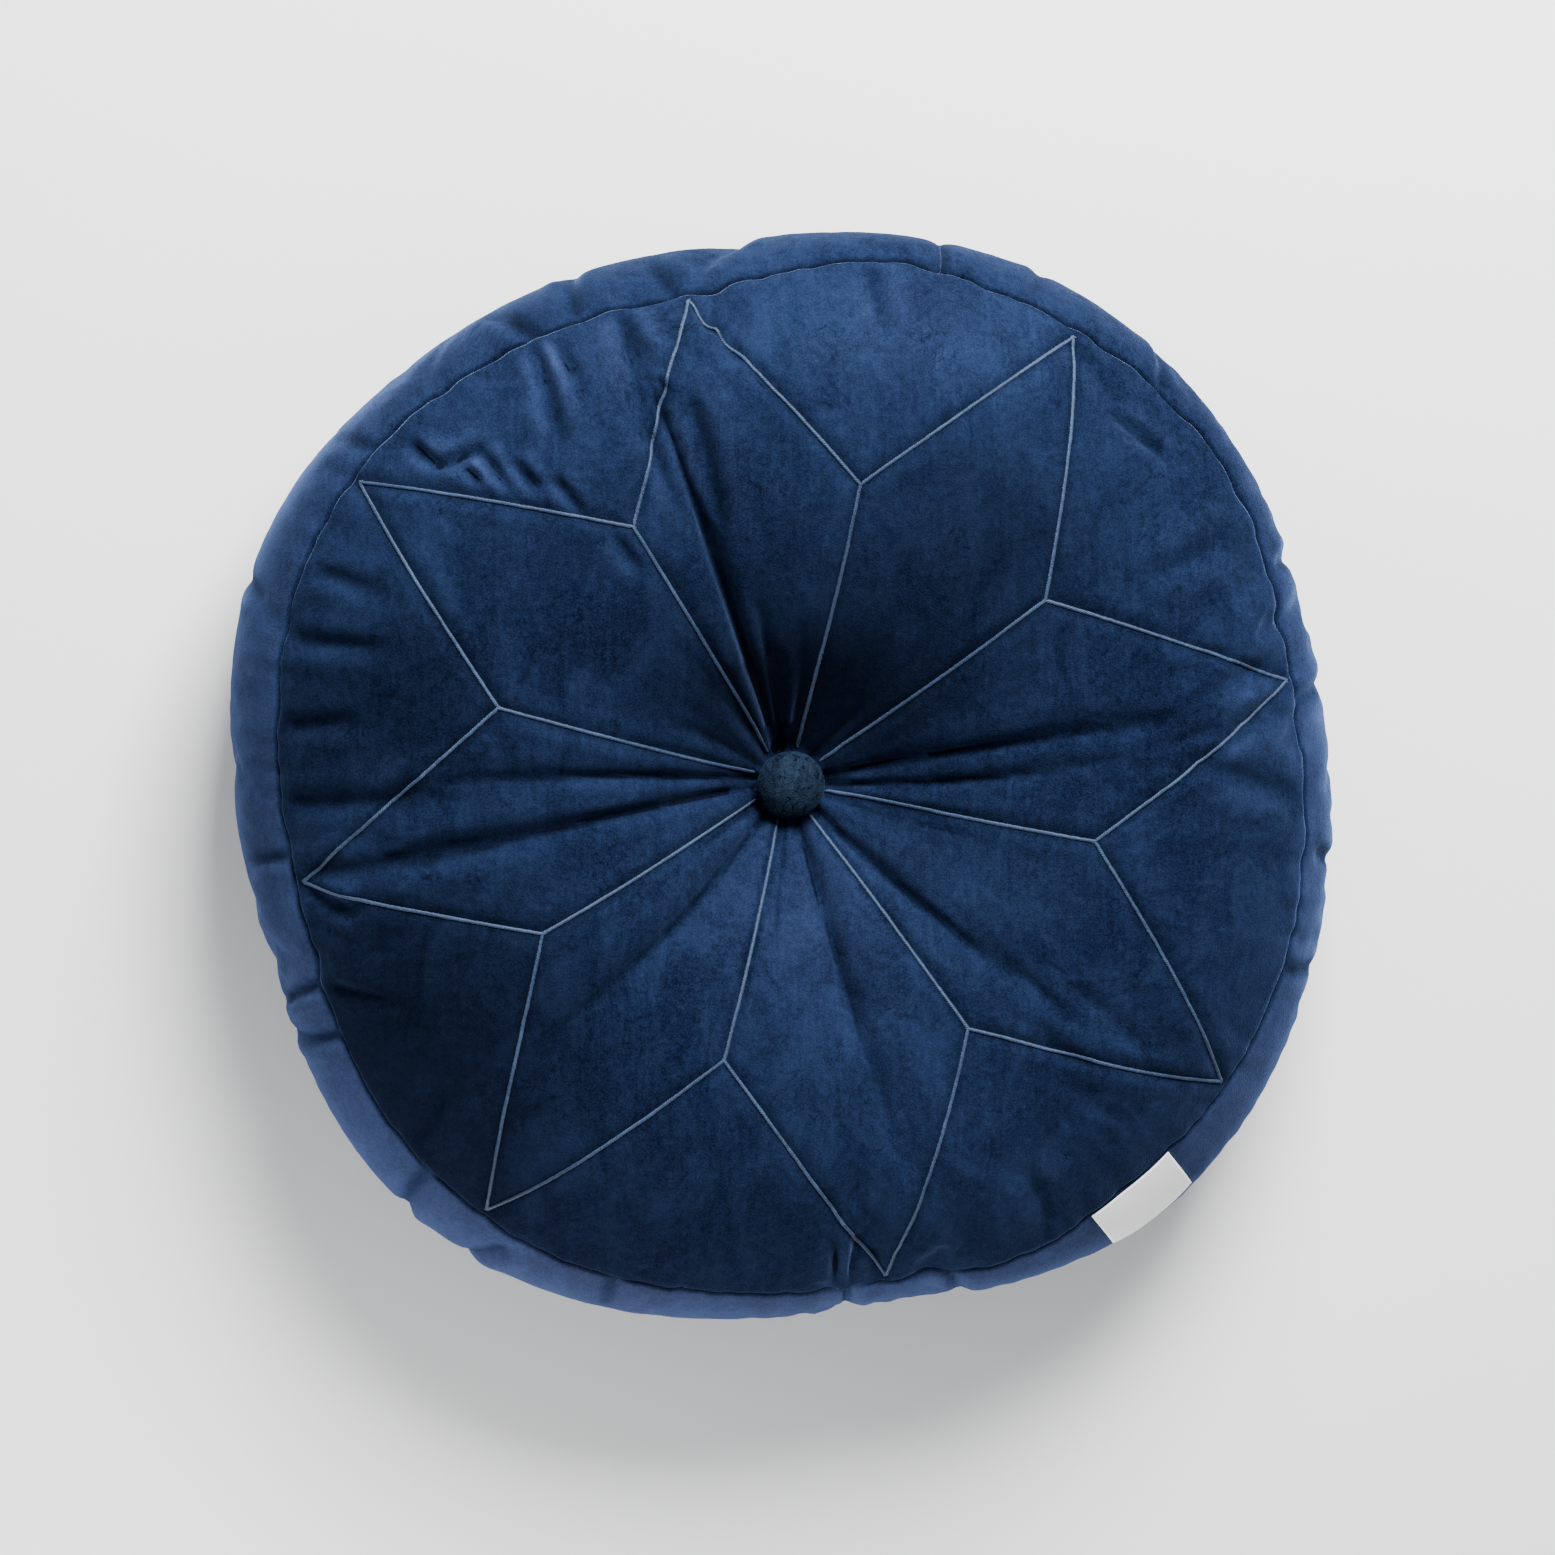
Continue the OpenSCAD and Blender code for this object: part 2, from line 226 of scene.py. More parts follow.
# creases that run out from the top button: bearing, drift over 0.15 m, reach, depth, width
topCreases = [
    (110, 0, 0.250, 0.0056, 0.0055),
    (101, 1, 0.110, 0.0050, 0.0045),
    (88, -6, 0.070, 0.0030, 0.0060),
    (52, -8, 0.060, 0.0030, 0.0070),
    (14, -3, 0.175, 0.0044, 0.0050),
    (-1, 7, 0.165, 0.0036, 0.0045),
    (-20, 9, 0.110, 0.0020, 0.0080),
    (-47, 7, 0.150, 0.0040, 0.0070),
    (-78, 3, 0.170, 0.0045, 0.0060),
    (-96, -5, 0.080, 0.0022, 0.0060),
    (-128, -9, 0.165, 0.0038, 0.0080),
    (-150, 8, 0.090, 0.0022, 0.0070),
    (-175, 4, 0.200, 0.0048, 0.0050),
    (172, 5, 0.190, 0.0038, 0.0050),
    (146, 9, 0.080, 0.0025, 0.0080),
    (126, 4, 0.090, 0.0030, 0.0060),
]

lowCreases = [(bearing, 5 * (-1) ** k, 0.085, 0.0040, 0.0060)
              for k, bearing in enumerate((12, 47, 95, 131, 188, 214, 262, 305, 338))]

# short folds of the top panel: from x, y to x, y, depth, width (m)
localFolds = [
    (-0.079, 0.222, -0.070, 0.169, 0.0046, 0.0040),
    (-0.068, 0.163, -0.051, 0.122, 0.0034, 0.0040),
    (-0.050, 0.178, -0.034, 0.109, 0.0030, 0.0045),
    (-0.118, 0.206, -0.107, 0.152, 0.0040, 0.0036),
    (-0.109, 0.204, -0.101, 0.186, 0.0032, 0.0028),
    (-0.103, 0.204, -0.096, 0.172, 0.0022, 0.0050),
    (-0.173, 0.157, -0.162, 0.147, 0.0036, 0.0026),
    (-0.163, 0.147, -0.140, 0.157, 0.0036, 0.0026),
    (-0.143, 0.153, -0.130, 0.137, 0.0036, 0.0026),
    (-0.129, 0.149, -0.116, 0.135, 0.0034, 0.0028),
    (-0.150, 0.147, -0.143, 0.139, 0.0026, 0.0020),
    (-0.111, 0.142, -0.098, 0.126, 0.0028, 0.0028),
    (-0.085, 0.117, -0.069, 0.096, 0.0026, 0.0034),
    (-0.226, 0.104, -0.184, 0.090, 0.0028, 0.0038),
    (-0.230, 0.070, -0.184, 0.067, 0.0030, 0.0038),
    (-0.234, 0.030, -0.194, 0.036, 0.0026, 0.0042),
    (-0.236, -0.004, -0.154, 0.002, 0.0028, 0.0048),
    (-0.226, -0.043, -0.196, -0.052, 0.0034, 0.0032),
    (-0.224, -0.036, -0.120, -0.014, 0.0030, 0.0050),
    (-0.222, -0.085, -0.176, -0.094, 0.0020, 0.0034),
    (-0.172, -0.160, -0.152, -0.124, 0.0024, 0.0050),
    (0.026, -0.234, 0.026, -0.204, 0.0038, 0.0028),
    (0.020, -0.232, 0.016, -0.202, 0.0034, 0.0026),
    (0.118, -0.200, 0.102, -0.170, 0.0022, 0.0050),
    (0.144, 0.168, 0.172, 0.145, 0.0034, 0.0026),
    (0.124, 0.204, 0.152, 0.168, 0.0018, 0.0045),
    (0.196, 0.112, 0.150, 0.092, 0.0020, 0.0055),
    (0.222, 0.034, 0.186, 0.024, 0.0022, 0.0055),
    (0.228, -0.006, 0.166, 0.018, 0.0022, 0.0055),
    (0.034, 0.234, 0.040, 0.202, 0.0022, 0.0040),
]


# pinched folds of the side band: bearing, from and to (0 top seam, 1 bottom seam),
# depth, width, lean in degrees
bandFolds = [
    (120, 0.00, 0.60, 0.0030, 0.0045, 5),
    (115, 0.05, 0.75, 0.0026, 0.0040, -5),
    (104, 0.00, 0.45, 0.0020, 0.0040, 4),
    (187, 0.00, 0.50, 0.0022, 0.0030, 2),
    (202, 0.00, 0.60, 0.0030, 0.0028, 2),
    (208, 0.00, 0.70, 0.0030, 0.0030, -2),
    (226, 0.00, 0.80, 0.0026, 0.0040, 4),
    (238, 0.10, 0.90, 0.0030, 0.0045, -6),
    (250, 0.00, 0.50, 0.0020, 0.0040, 3),
    (288, 0.00, 0.60, 0.0022, 0.0035, 3),
    (339, 0.00, 0.60, 0.0024, 0.0032, 2),
    (352, 0.10, 0.80, 0.0020, 0.0035, -3),
    (9, 0.00, 0.70, 0.0022, 0.0032, 2),
    (24, 0.10, 0.80, 0.0024, 0.0035, -3),
    (47, 0.00, 0.60, 0.0022, 0.0035, 4),
    (64, 0.10, 0.70, 0.0020, 0.0035, -3),
    (141, 0.00, 0.60, 0.0020, 0.0040, 4),
    (160, 0.20, 0.90, 0.0018, 0.0040, -3),
]


def creaseDepth(creases, r, bearing, sharp):
    deep = np.zeros(np.broadcast(r, bearing).shape)
    for first, drift, reach, depth, width in creases:
        across = np.abs(np.radians(turned(bearing, first + drift * r / 0.15))) * r
        rise = smoothStep((r - 0.007) / 0.010)
        fade = 1 - smoothStep((r - reach * 0.45) / (reach * 0.55))
        spread = width * (0.45 + r / 0.16) * sharp
        deep = deep + depth * rise * fade * np.exp(-(across / spread) ** 1.5)
    return deep


def foldDepth(x, y):           # how deep the short folds are, and their painted shade and highlight: darker on one side of each fold, lighter on the ridge beside it
    deep, shade = np.zeros(x.shape), np.zeros(x.shape)
    for x0, y0, x1, y1, depth, width in localFolds:
        dx, dy = x1 - x0, y1 - y0
        long = math.hypot(dx, dy)
        t = ((x - x0) * dx + (y - y0) * dy) / long ** 2
        across = np.abs((x - x0) * dy - (y - y0) * dx) / long
        fade = smoothStep((t + 0.15) / 0.3) * (1 - smoothStep((t - 0.55) / 0.6))
        near = np.where(np.abs(across) < 6 * width, 1.0, 0.0)
        ridge = 0.35 * np.exp(-((across - 2.2 * width) / (1.3 * width)) ** 2)
        deep += depth * fade * near * (np.exp(-(across / width) ** 2) - ridge)
        # painted shade on one side of the fold, painted highlight on the ridge beside it
        dark = np.exp(-((across + 0.9 * width) / (1.1 * width)) ** 2)
        lit = 0.35 * np.exp(-((across - 2.0 * width) / (1.3 * width)) ** 2)
        shade -= fade * near * (dark - lit) * min(1.0, depth / 0.0045)
    return deep, shade


def noiseRing(bearings, turns, lift):   # even noise round the cushion
    angles = [math.radians(b) for b in bearings]
    return np.array([noise.noise(Vector((math.cos(a) * turns, math.sin(a) * turns, lift))) for a in angles])


def seamPucker(u, bearings, turns, lift):
    toTop, toBottom = u - rim, u - rim - high
    upper = np.exp(-abs(toTop) / 0.018) * noiseRing(bearings, turns, lift)
    wide = np.exp(-abs(toTop) / 0.070) * noiseRing(bearings, turns / 2, lift + 20) * (toTop < 0)
    lower = np.exp(-abs(toBottom) / 0.018) * noiseRing(bearings, turns, lift + 5)
    return upper + 0.8 * wide * smoothStep((u - 0.03) / 0.06) + lower


def bearingsOf(columns):
    return 360.0 * np.arange(columns) / columns


def columnsAt(u, most):        # fewer columns towards the middle of a panel
    s = min(u, whole - u)
    for limit, share in ((0.010, 16), (0.030, 8), (0.068, 4), (0.136, 2)):
        if s < limit:
            return most // share
    return most


# the cover is cut flat, sewn and blown up
def coverRings():
    panel = [0.0, 0.007, 0.012, 0.0165, 0.0205]
    while panel[-1] < rim - 0.0125:
        panel.append(panel[-1] + 0.0052)
    panel += [rim - 0.0075, rim - 0.0033]
    band = [rim, rim + 0.0033] + list(np.linspace(rim + 0.0075, rim + high - 0.0075, 14))
    band += [rim + high - 0.0033, rim + high]
    return np.array(panel + band + [whole - s for s in reversed(panel)])


def outlineRing(u, columns):   # the cushion's own shape, before the cloth folds
    bearings = bearingsOf(columns)
    r, z = drawnAt(u)
    up = cushion["pucker"] * seamPucker(u, bearings, 15, 3)
    radius = np.full(columns, r)
    height = np.full(columns, z)
    if u < rim:
        height += up - creaseDepth(topCreases, r, bearings, 1.0)
    elif u <= rim + high:
        radius += up
    elif r > cushion["restTo"]:
        height -= up * smoothStep((r - cushion["restTo"]) / 0.02)
    else:
        height += creaseDepth(lowCreases, r, bearings, 1.0) * smoothStep((cushion["restFrom"] - r) / 0.02)
    radius += stretch(bearings) * min(1.0, r / cushion["seamRadius"]) ** 2 + drift(u, bearings)
    c, s = np.cos(np.radians(bearings)), np.sin(np.radians(bearings))
    return np.stack([radius * c, radius * s, height], axis=1)


def stitchRows(rows):          # faces between rings whose column counts are equal, halved or doubled
    made = []
    for (a, na), (b, nb) in zip(rows, rows[1:]):
        if na == nb:
            made += [(a + k, b + k, b + (k + 1) % nb, a + (k + 1) % na) for k in range(na)]
        elif na == 1:
            made += [(a, b + k, b + (k + 1) % nb) for k in range(nb)]
        elif nb == 1:
            made += [(a + k, b, a + (k + 1) % na) for k in range(na)]
        elif nb == 2 * na:
            for k in range(na):
                p, q = a + k, a + (k + 1) % na
                i, j, m = b + 2 * k, b + 2 * k + 1, b + (2 * k + 2) % nb
                made += [(p, i, j), (p, j, q), (q, j, m)]
        else:
            for k in range(nb):
                i, j = b + k, b + (k + 1) % nb
                p, q, m = a + 2 * k, a + 2 * k + 1, a + (2 * k + 2) % na
                made += [(p, i, q), (q, i, j), (q, j, m)]
    return made


def numberRows(counts):
    firsts = np.concatenate([[0], np.cumsum(counts)[:-1]])
    return [(int(a), int(n)) for a, n in zip(firsts, counts)]


def blowUpCover():             # the cut cloth is larger than its place, so that it folds as it fills
    rings = coverRings()
    counts = [1 if u in (0.0, whole) else columnsAt(u, blowUp["columns"]) for u in rings]
    rows = numberRows(counts)
    start = np.concatenate([outlineRing(u, n) for u, n in zip(rings, counts)])
    pattern = []
    for u, n in zip(rings, counts):
        r, z = cutAt(u)
        turn = np.radians(bearingsOf(n))
        pattern.append(np.stack([r * np.cos(turn), r * np.sin(turn), np.full(n, z)], axis=1))
    pattern = np.concatenate(pattern)
    big = blowUp["scale"]
    mesh = bpy.data.meshes.new("coverSim")
    mesh.from_pydata([tuple(p * big) for p in start], [], stitchRows(rows))
    sim = bpy.data.objects.new("coverSim", mesh)
    bpy.context.scene.collection.objects.link(sim)
    sim.shape_key_add(name="start")
    flat = sim.shape_key_add(name="flat")
    flat.data.foreach_set("co", (pattern * big).ravel())
    held = sim.vertex_groups.new(name="held")
    held.add(list(range(len(start))), blowUp["fillHold"], "REPLACE")
    for u, (first, n) in zip(rings, rows):
        reach = drawnAt(u)[0]
        onFloor = u > rim + high and cushion["restFrom"] - 0.004 < reach < cushion["restTo"] + 0.004
        if onFloor or min(u, whole - u) < 0.018:
            held.add(list(range(first, first + n)), 1.0, "REPLACE")
    cloth = sim.modifiers.new("cloth", "CLOTH")
    c = cloth.settings
    c.quality, c.mass, c.air_damping = 6, 0.1, 0.5
    c.tension_stiffness = c.compression_stiffness = 40
    c.shear_stiffness, c.bending_stiffness = 5, 0.5
    c.use_pressure, c.uniform_pressure_force = True, blowUp["pressure"]
    c.effector_weights.gravity = 0
    c.vertex_group_mass, c.pin_stiffness = "held", 0.2
    c.rest_shape_key = flat
    cloth.collision_settings.use_collision = False
    scene = bpy.context.scene
    for f in range(1, blowUp["frames"] + 1):
        scene.frame_set(f)
    done = sim.evaluated_get(bpy.context.evaluated_depsgraph_get()).to_mesh()
    shape = np.empty(len(start) * 3)
    done.vertices.foreach_get("co", shape)
    shape = shape.reshape(-1, 3) / big
    scene.frame_set(1)
    bpy.data.objects.remove(sim)
    return rings, rows, start, shape


def settle(rings, rows, start, shape):   # keeps the folds, on the cushion's own outline and height
    moved = shape - start
    for u, (first, columns) in zip(rings, rows):
        if columns < 24:
            moved[first:first + columns] = 0
            continue
        away = min(abs(u - rim), abs(u - rim - high))
        share = blowUp["seamShare"] + (1 - blowUp["seamShare"]) * smoothStep(away / 0.022)
        if rim < u < rim + high:
            share *= blowUp["bandShare"]
        turn = np.radians(bearingsOf(columns))
        c, s = np.cos(turn), np.sin(turn)
        m = moved[first:first + columns]
        polar = np.stack([m[:, 0] * c + m[:, 1] * s, m[:, 1] * c - m[:, 0] * s, m[:, 2]], axis=1)
        waves = np.fft.rfft(polar, axis=0)
        waves[:6] *= blowUp["keepSlow"]
        p = np.fft.irfft(waves, columns, axis=0)
        back = [p[:, 0] * c - p[:, 1] * s, p[:, 0] * s + p[:, 1] * c, p[:, 2]]
        moved[first:first + columns] = share * np.stack(back, axis=1)
    far = np.linalg.norm(moved, axis=1, keepdims=True)
    return start + moved * np.minimum(1.0, blowUp["furthest"] / np.maximum(far, 1e-9))


print("cover: blowing up")
simRings, simRows, simStart, simShape = blowUpCover()
print("cover: moved up to %.1f mm" % (1000 * np.linalg.norm(simShape - simStart, axis=1).max()))
settled = settle(simRings, simRows, simStart, simShape)


def refine(rings, rows, shape, us):   # the settled cover on finer rings, each with all its columns
    full = []
    for first, columns in rows:
        ring = shape[first:first + columns]
        if columns == 1:
            full.append(np.repeat(ring, finest, axis=0))
            continue
        waves = np.fft.rfft(ring, axis=0)
        waves[-1] *= 0.5 if columns < finest else 1.0
        full.append(np.fft.irfft(waves, finest, axis=0) * finest / columns)
    full = np.array(full)
    slope = np.gradient(full, rings, axis=0)
    slope[0], slope[-1] = slope[1], slope[-2]
    k = np.clip(np.searchsorted(rings, us, side="right") - 1, 0, len(rings) - 2)
    gap = (rings[k + 1] - rings[k])[:, None, None]
    t = ((us - rings[k]) / (rings[k + 1] - rings[k]))[:, None, None]
    h00, h10 = 2 * t ** 3 - 3 * t ** 2 + 1, t ** 3 - 2 * t ** 2 + t
    h01, h11 = 3 * t ** 2 - 2 * t ** 3, t ** 3 - t ** 2
    return h00 * full[k] + h10 * gap * slope[k] + h01 * full[k + 1] + h11 * gap * slope[k + 1]


def fineRings(first, last, gap, firstFine, lastFine):   # rings that crowd towards a seam
    middle = np.linspace(first, last, max(2, int(round((last - first) / gap)) + 1))
    extra = [0.0009, 0.0020, 0.0033, 0.0047]
    near = [first + e for e in extra if firstFine] + [last - e for e in extra if lastFine]
    keep = [u for u in middle if all(abs(u - n) > gap * 0.45 or u in (first, last) for n in near)]
    return np.array(sorted(keep + near))


allUs = np.concatenate([fineRings(0.0, rim, 0.0021, False, True)[:-1],
                        fineRings(rim, rim + high, 0.0026, True, True)[:-1],
                        fineRings(rim + high, whole, 0.0040, True, False)])
allBearings = bearingsOf(finest)
cover = refine(simRings, simRows, settled, allUs)


def normalsOf(grid):
    across = np.roll(grid, -1, axis=1) - np.roll(grid, 1, axis=1)
    down = np.gradient(grid, axis=0)
    normal = np.cross(across, down)
    size = np.linalg.norm(normal, axis=2, keepdims=True)
    normal = np.where(size > 1e-12, normal / np.maximum(size, 1e-12), 0)
    outward = -np.sign(np.sum(normal[len(normal) // 2] * grid[len(grid) // 2], axis=1).mean())
    normal *= -outward
    normal[0], normal[-1] = (0, 0, 1), (0, 0, -1)
    return normal


flower = {
    "spokeFrom": 0.0178, "tip": 0.0036,
    "tips": [11.5, 58.0, 102.5, 144.5, 190.0, 233.5, 280.5, 325.0],   # bearings
    "notches": [(38.0, 0.147), (79.5, 0.150), (122.5, 0.153), (163.5, 0.151),
                (207.5, 0.143), (253.5, 0.135), (305.0, 0.140), (350.0, 0.144)],
    "furrow": 0.0013, "furrowWidth": 0.0030,
    "stitch": {"Pitch": 0.00110, "Length": 0.0032, "Width": 0.00125, "Height": 0.0011, "Slant": 0.42,
               "Unevenness": 0.10},
}


def cut(s, bearing):           # a point on the panel as it was cut
    return np.array([s * math.cos(math.radians(bearing)), s * math.sin(math.radians(bearing))])


def petalCorners(i):           # spoke, notch, tip and next notch of one petal
    before, after = flower["notches"][i - 1], flower["notches"][i]
    return [cut(flower["spokeFrom"], before[0]), cut(before[1], before[0]),
            cut(rim - flower["tip"], flower["tips"][i]), cut(after[1], after[0])]


def furrowDepth(s, bearing):   # the stitching draws the pile in along the star
    x, y = s * np.cos(np.radians(bearing)), s * np.sin(np.radians(bearing))
    nearest = np.full(np.broadcast(s, bearing).shape, 1.0)
    for i in range(len(flower["tips"])):
        corners = petalCorners(i)
        for a, b in zip(corners, corners[1:]):
            d = b - a
            t = np.clip(((x - a[0]) * d[0] + (y - a[1]) * d[1]) / d.dot(d), 0, 1)
            nearest = np.minimum(nearest, np.hypot(x - a[0] - t * d[0], y - a[1] - t * d[1]))
    return flower["furrow"] * (np.exp(-(nearest / flower["furrowWidth"]) ** 2)
                               - 0.35 * np.exp(-((nearest - 0.0075) / 0.0035) ** 2))


crisp = {                      # what is added on the fine cover
    "creaseShare": 0.40, "creaseWidth": 0.36, "creasePaintedShade": 0.9, "darkWidth": 0.15, "darkDepth": 0.0035,
    "foldPaintedShade": 0.9, "furrowPaintedShade": 0.4, "offSeam": 0.012,
    "seamPaintedShade": 0.8, "seamWidth": 0.0012, "joinPaintedShade": 1.2,
    "bandFoldPaintedShade": 0.7, "bandDepth": 0.003,
    "frontJoin": (0.0052, 0.0050), "backJoin": (0.0024, 0.0035),   # depth and width of the joins' grooves
    "lowest": 0.0004,          # clear of the floor
}


def topDetail(radius, x, y, us):   # how far the top panel comes up, and the painted shade and highlight of its creases, folds and star furrow
    bearings = allBearings[None, :]
    folds, foldPaintedShadeAndLight = foldDepth(x, y)
    furrow = furrowDepth(us[:, None], bearings)
    offSeam = smoothStep((rim - us[:, None]) / crisp["offSeam"])
    sharp = creaseDepth(topCreases, radius, bearings, crisp["creaseWidth"])
    creaseShadeDepth = creaseDepth(topCreases, radius, bearings, crisp["darkWidth"])
    up = -(crisp["creaseShare"] * sharp + folds * offSeam + furrow)
    # painted shade: the pile is darkened along the middle of each sharp crease, where the closed valley lies in
    # shadow
    paintedShadeAndLight = -crisp["creasePaintedShade"] * np.clip(creaseShadeDepth / crisp["darkDepth"], 0, 1)
    # painted shade and highlight of the short folds, weaker next to the seam
    paintedShadeAndLight += crisp["foldPaintedShade"] * foldPaintedShadeAndLight * (0.4 + 0.6 * offSeam)
    # painted shade in the furrow that the star's stitching draws in
    paintedShadeAndLight -= crisp["furrowPaintedShade"] * np.clip(furrow / flower["furrow"], 0, 1)
    return up, paintedShadeAndLight


def bandDetail(radius, down):  # the same on one ring of the side band
    up, paintedShadeAndLight = np.zeros(radius.shape), np.zeros(radius.shape)
    for join in ("frontJoin", "backJoin"):
        depth, width = crisp[join]
        across = np.abs(np.radians(turned(allBearings, cushion[join]))) * radius
        up -= depth * np.exp(-(across / width) ** 1.2)
        # painted shade along the grooves of the two joins of the side band
        paintedShadeAndLight -= crisp["joinPaintedShade"] * np.exp(-(across / crisp["seamWidth"]) ** 2)
    for bearing, first, last, depth, width, lean in bandFolds:
        across = np.radians(turned(allBearings, bearing + lean * (down - first))) * radius
        begins = smoothStep((down - first) / 0.12 + 0.5)
        fade = float(begins * (1 - smoothStep((down - last + 0.3) / 0.3)))
        ridge = 0.4 * np.exp(-((across - 2.2 * width) / (1.3 * width)) ** 2)
        up -= depth * fade * (np.exp(-(across / width) ** 2) - ridge)
        # painted shade on one side of each pinched fold of the band
        dark = crisp["bandFoldPaintedShade"] * fade * depth / crisp["bandDepth"]
        paintedShadeAndLight -= dark * np.exp(-((across + 0.4 * width) / (0.8 * width)) ** 2)
    return up, paintedShadeAndLight


def detail(grid, us):          # sharp creases, small folds and the grooves of the seams, with their painted shade
    normal = normalsOf(grid)
    radius = np.hypot(grid[..., 0], grid[..., 1])
    up, paintedShadeAndLight = np.zeros(radius.shape), np.zeros(radius.shape)
    isTop, isLow = us < rim, us > rim + high
    up[isTop], paintedShadeAndLight[isTop] = topDetail(radius[isTop], grid[isTop][..., 0], grid[isTop][..., 1], us[isTop])
    sharpLow = creaseDepth(lowCreases, radius[isLow], allBearings[None, :], 0.4)
    up[isLow] -= 0.5 * sharpLow * smoothStep((cushion["restFrom"] - radius[isLow]) / 0.02)
    for k, u in enumerate(us):
        seam = min(abs(u - rim), abs(u - rim - high))
        up[k] += cushion["finePucker"] * seamPucker(u, allBearings, 34, 40)
        up[k] -= cushion["groove"] * math.exp(-(seam / cushion["grooveWidth"]) ** 1.2)
        # painted shade: a dark line along each seam, where the groove lies in shadow
        paintedShadeAndLight[k] -= crisp["seamPaintedShade"] * math.exp(-(seam / crisp["seamWidth"]) ** 2)
        if rim < u < rim + high:
            bandUp, bandPaintedShade = bandDetail(radius[k], (u - rim) / high)
            up[k] += bandUp
            paintedShadeAndLight[k] += bandPaintedShade
    grid = grid + normal * up[..., None]
    low = crisp["lowest"]      # what would sink through the floor is laid on it
    sunk = low * np.exp(np.minimum(0, grid[..., 2] - low) / low)
    grid[..., 2] = np.where(grid[..., 2] < low, sunk, grid[..., 2])
    return grid, paintedShadeAndLight


# the cover's painted shade and highlight go into the lay attribute together with the pile's tone
cover, coverPaintedShadeAndLight = detail(cover, allUs)
coverNormal = normalsOf(cover)
print("cover: %d rings of %d columns" % cover.shape[:2])


# patches where the top panel is painted darker or lighter: x, y, size along x and y, darker or lighter. The
# dark one just north of the button is painted shade in the button's pit, the light one just south of it painted
# light on the pit's lit wall
brushed = [
    (-0.165, -0.115, 0.060, 0.070, -0.9),
    (-0.190, 0.040, 0.050, 0.050, -0.5),
    (0.085, 0.110, 0.045, 0.040, -0.5),
    (0.008, 0.044, 0.052, 0.030, -1.5),
    (0.000, -0.055, 0.060, 0.050, 0.3),
    (0.050, 0.205, 0.070, 0.025, 0.2),
]


def pileToneAndPaintedLight(points, kind):     # how light the pile looks: the patches on the top panel, and painted light on the side band
    x, y = points[:, 0], points[:, 1]
    if kind == "top":
        lay = np.zeros(len(points))
        for cx, cy, wide, long, amount in brushed:
            lay += amount * np.exp(-((x - cx) / wide) ** 2 - ((y - cy) / long) ** 2)
        return lay
    if kind == "band":
        # painted light and sheen: the side band is lighter on its front, towards bearing 260, and darker
        # towards 80
        return 0.50 - 0.50 * np.cos(np.arctan2(y, x) - math.radians(80))
    return np.full(len(points), 0.2)


def addPiece(name, points, faces, body, material, nodes=(), lay=None):
    points = np.asarray(points)
    mesh = bpy.data.meshes.new(name)
    mesh.from_pydata([tuple(p) for p in points], [], faces)
    # the lay attribute holds the pile's tone together with painted light and shade
    if lay is not None:
        kind, paintedShadeAndLight = lay
        pile = mesh.attributes.new("lay", "FLOAT", "POINT")
        pile.data.foreach_set("value", pileToneAndPaintedLight(points, kind) + paintedShadeAndLight)
    mesh.polygons.foreach_set("use_smooth", [True] * len(mesh.polygons))
    mesh.materials.append(material)
    mesh.update()
    piece = bpy.data.objects.new(name, mesh)
    bpy.context.scene.collection.objects.link(piece)
    if body:                       # a piece that gives with the seat is blended later instead
        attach(piece, body)
    if nodes:
        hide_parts(*nodes)
    return piece


def inwards(points, depth):    # straight in towards the middle, without changing height
    flat = points.copy()
    flat[:, 2] = 0
    return points - depth * flat / np.maximum(np.linalg.norm(flat, axis=1, keepdims=True), 1e-9)


def thinned(ring, u):          # every so many columns of a full ring
    return ring[::finest // columnsAt(u, finest)]


def panelPiece(name, low, body, material):   # a round panel: face, turned-in edge and back, closed
    chosen = [k for k, u in enumerate(allUs) if (u >= rim + high - 1e-9 if low else u <= rim + 1e-9)]
    order = list(reversed(chosen)) if low else chosen
    rings, backs, paintedShadeAndLight = [], [], []
    for k in order:
        u = allUs[k]
        if u in (0.0, whole):
            rings.append(cover[k][:1])
            paintedShadeAndLight.append(np.zeros(1))
            backs.append(cover[k][:1] - cushion["cloth"] * coverNormal[k][:1])
            continue
        rings.append(thinned(cover[k], u))
        paintedShadeAndLight.append(thinned(coverPaintedShadeAndLight[k], u))
        backs.append(thinned(cover[k] - cushion["cloth"] * coverNormal[k], u)[::2])
    edge = rings[-1]
    side = -1 if low else 1
    lift = np.array([0, 0, side * 0.0003])        # clear of the other side of the seam
    turnedIn = [inwards(edge, cushion["allowance"] * t) + lift for t in (0.25, 0.6, 1.0)]
    under = [p + np.array([0, 0, side * 0.0007]) for p in reversed(turnedIn[1:])]
    stop = next(j for j in range(len(order) - 1, 0, -1) if abs(allUs[order[j]] - allUs[order[-1]]) > 0.004)
    backs = backs[:1] + backs[1:stop:2] + backs[stop:stop + 1]
    sequence = rings + turnedIn + under + list(reversed(backs))
    # the turned-in edge and the back get painted shade, as inside the seam
    paintedShadeAndLight += [np.full(len(r), -1.0) for r in sequence[len(rings):]]
    rows = numberRows([len(r) for r in sequence])
    faces = stitchRows(rows)
    if not low:
        faces = [f[::-1] for f in faces]
    faces = [f[::-1] for f in faces]
    return addPiece(name, np.concatenate(sequence), faces, body, material, [name],
                    ("low" if low else "top", np.concatenate(paintedShadeAndLight)))


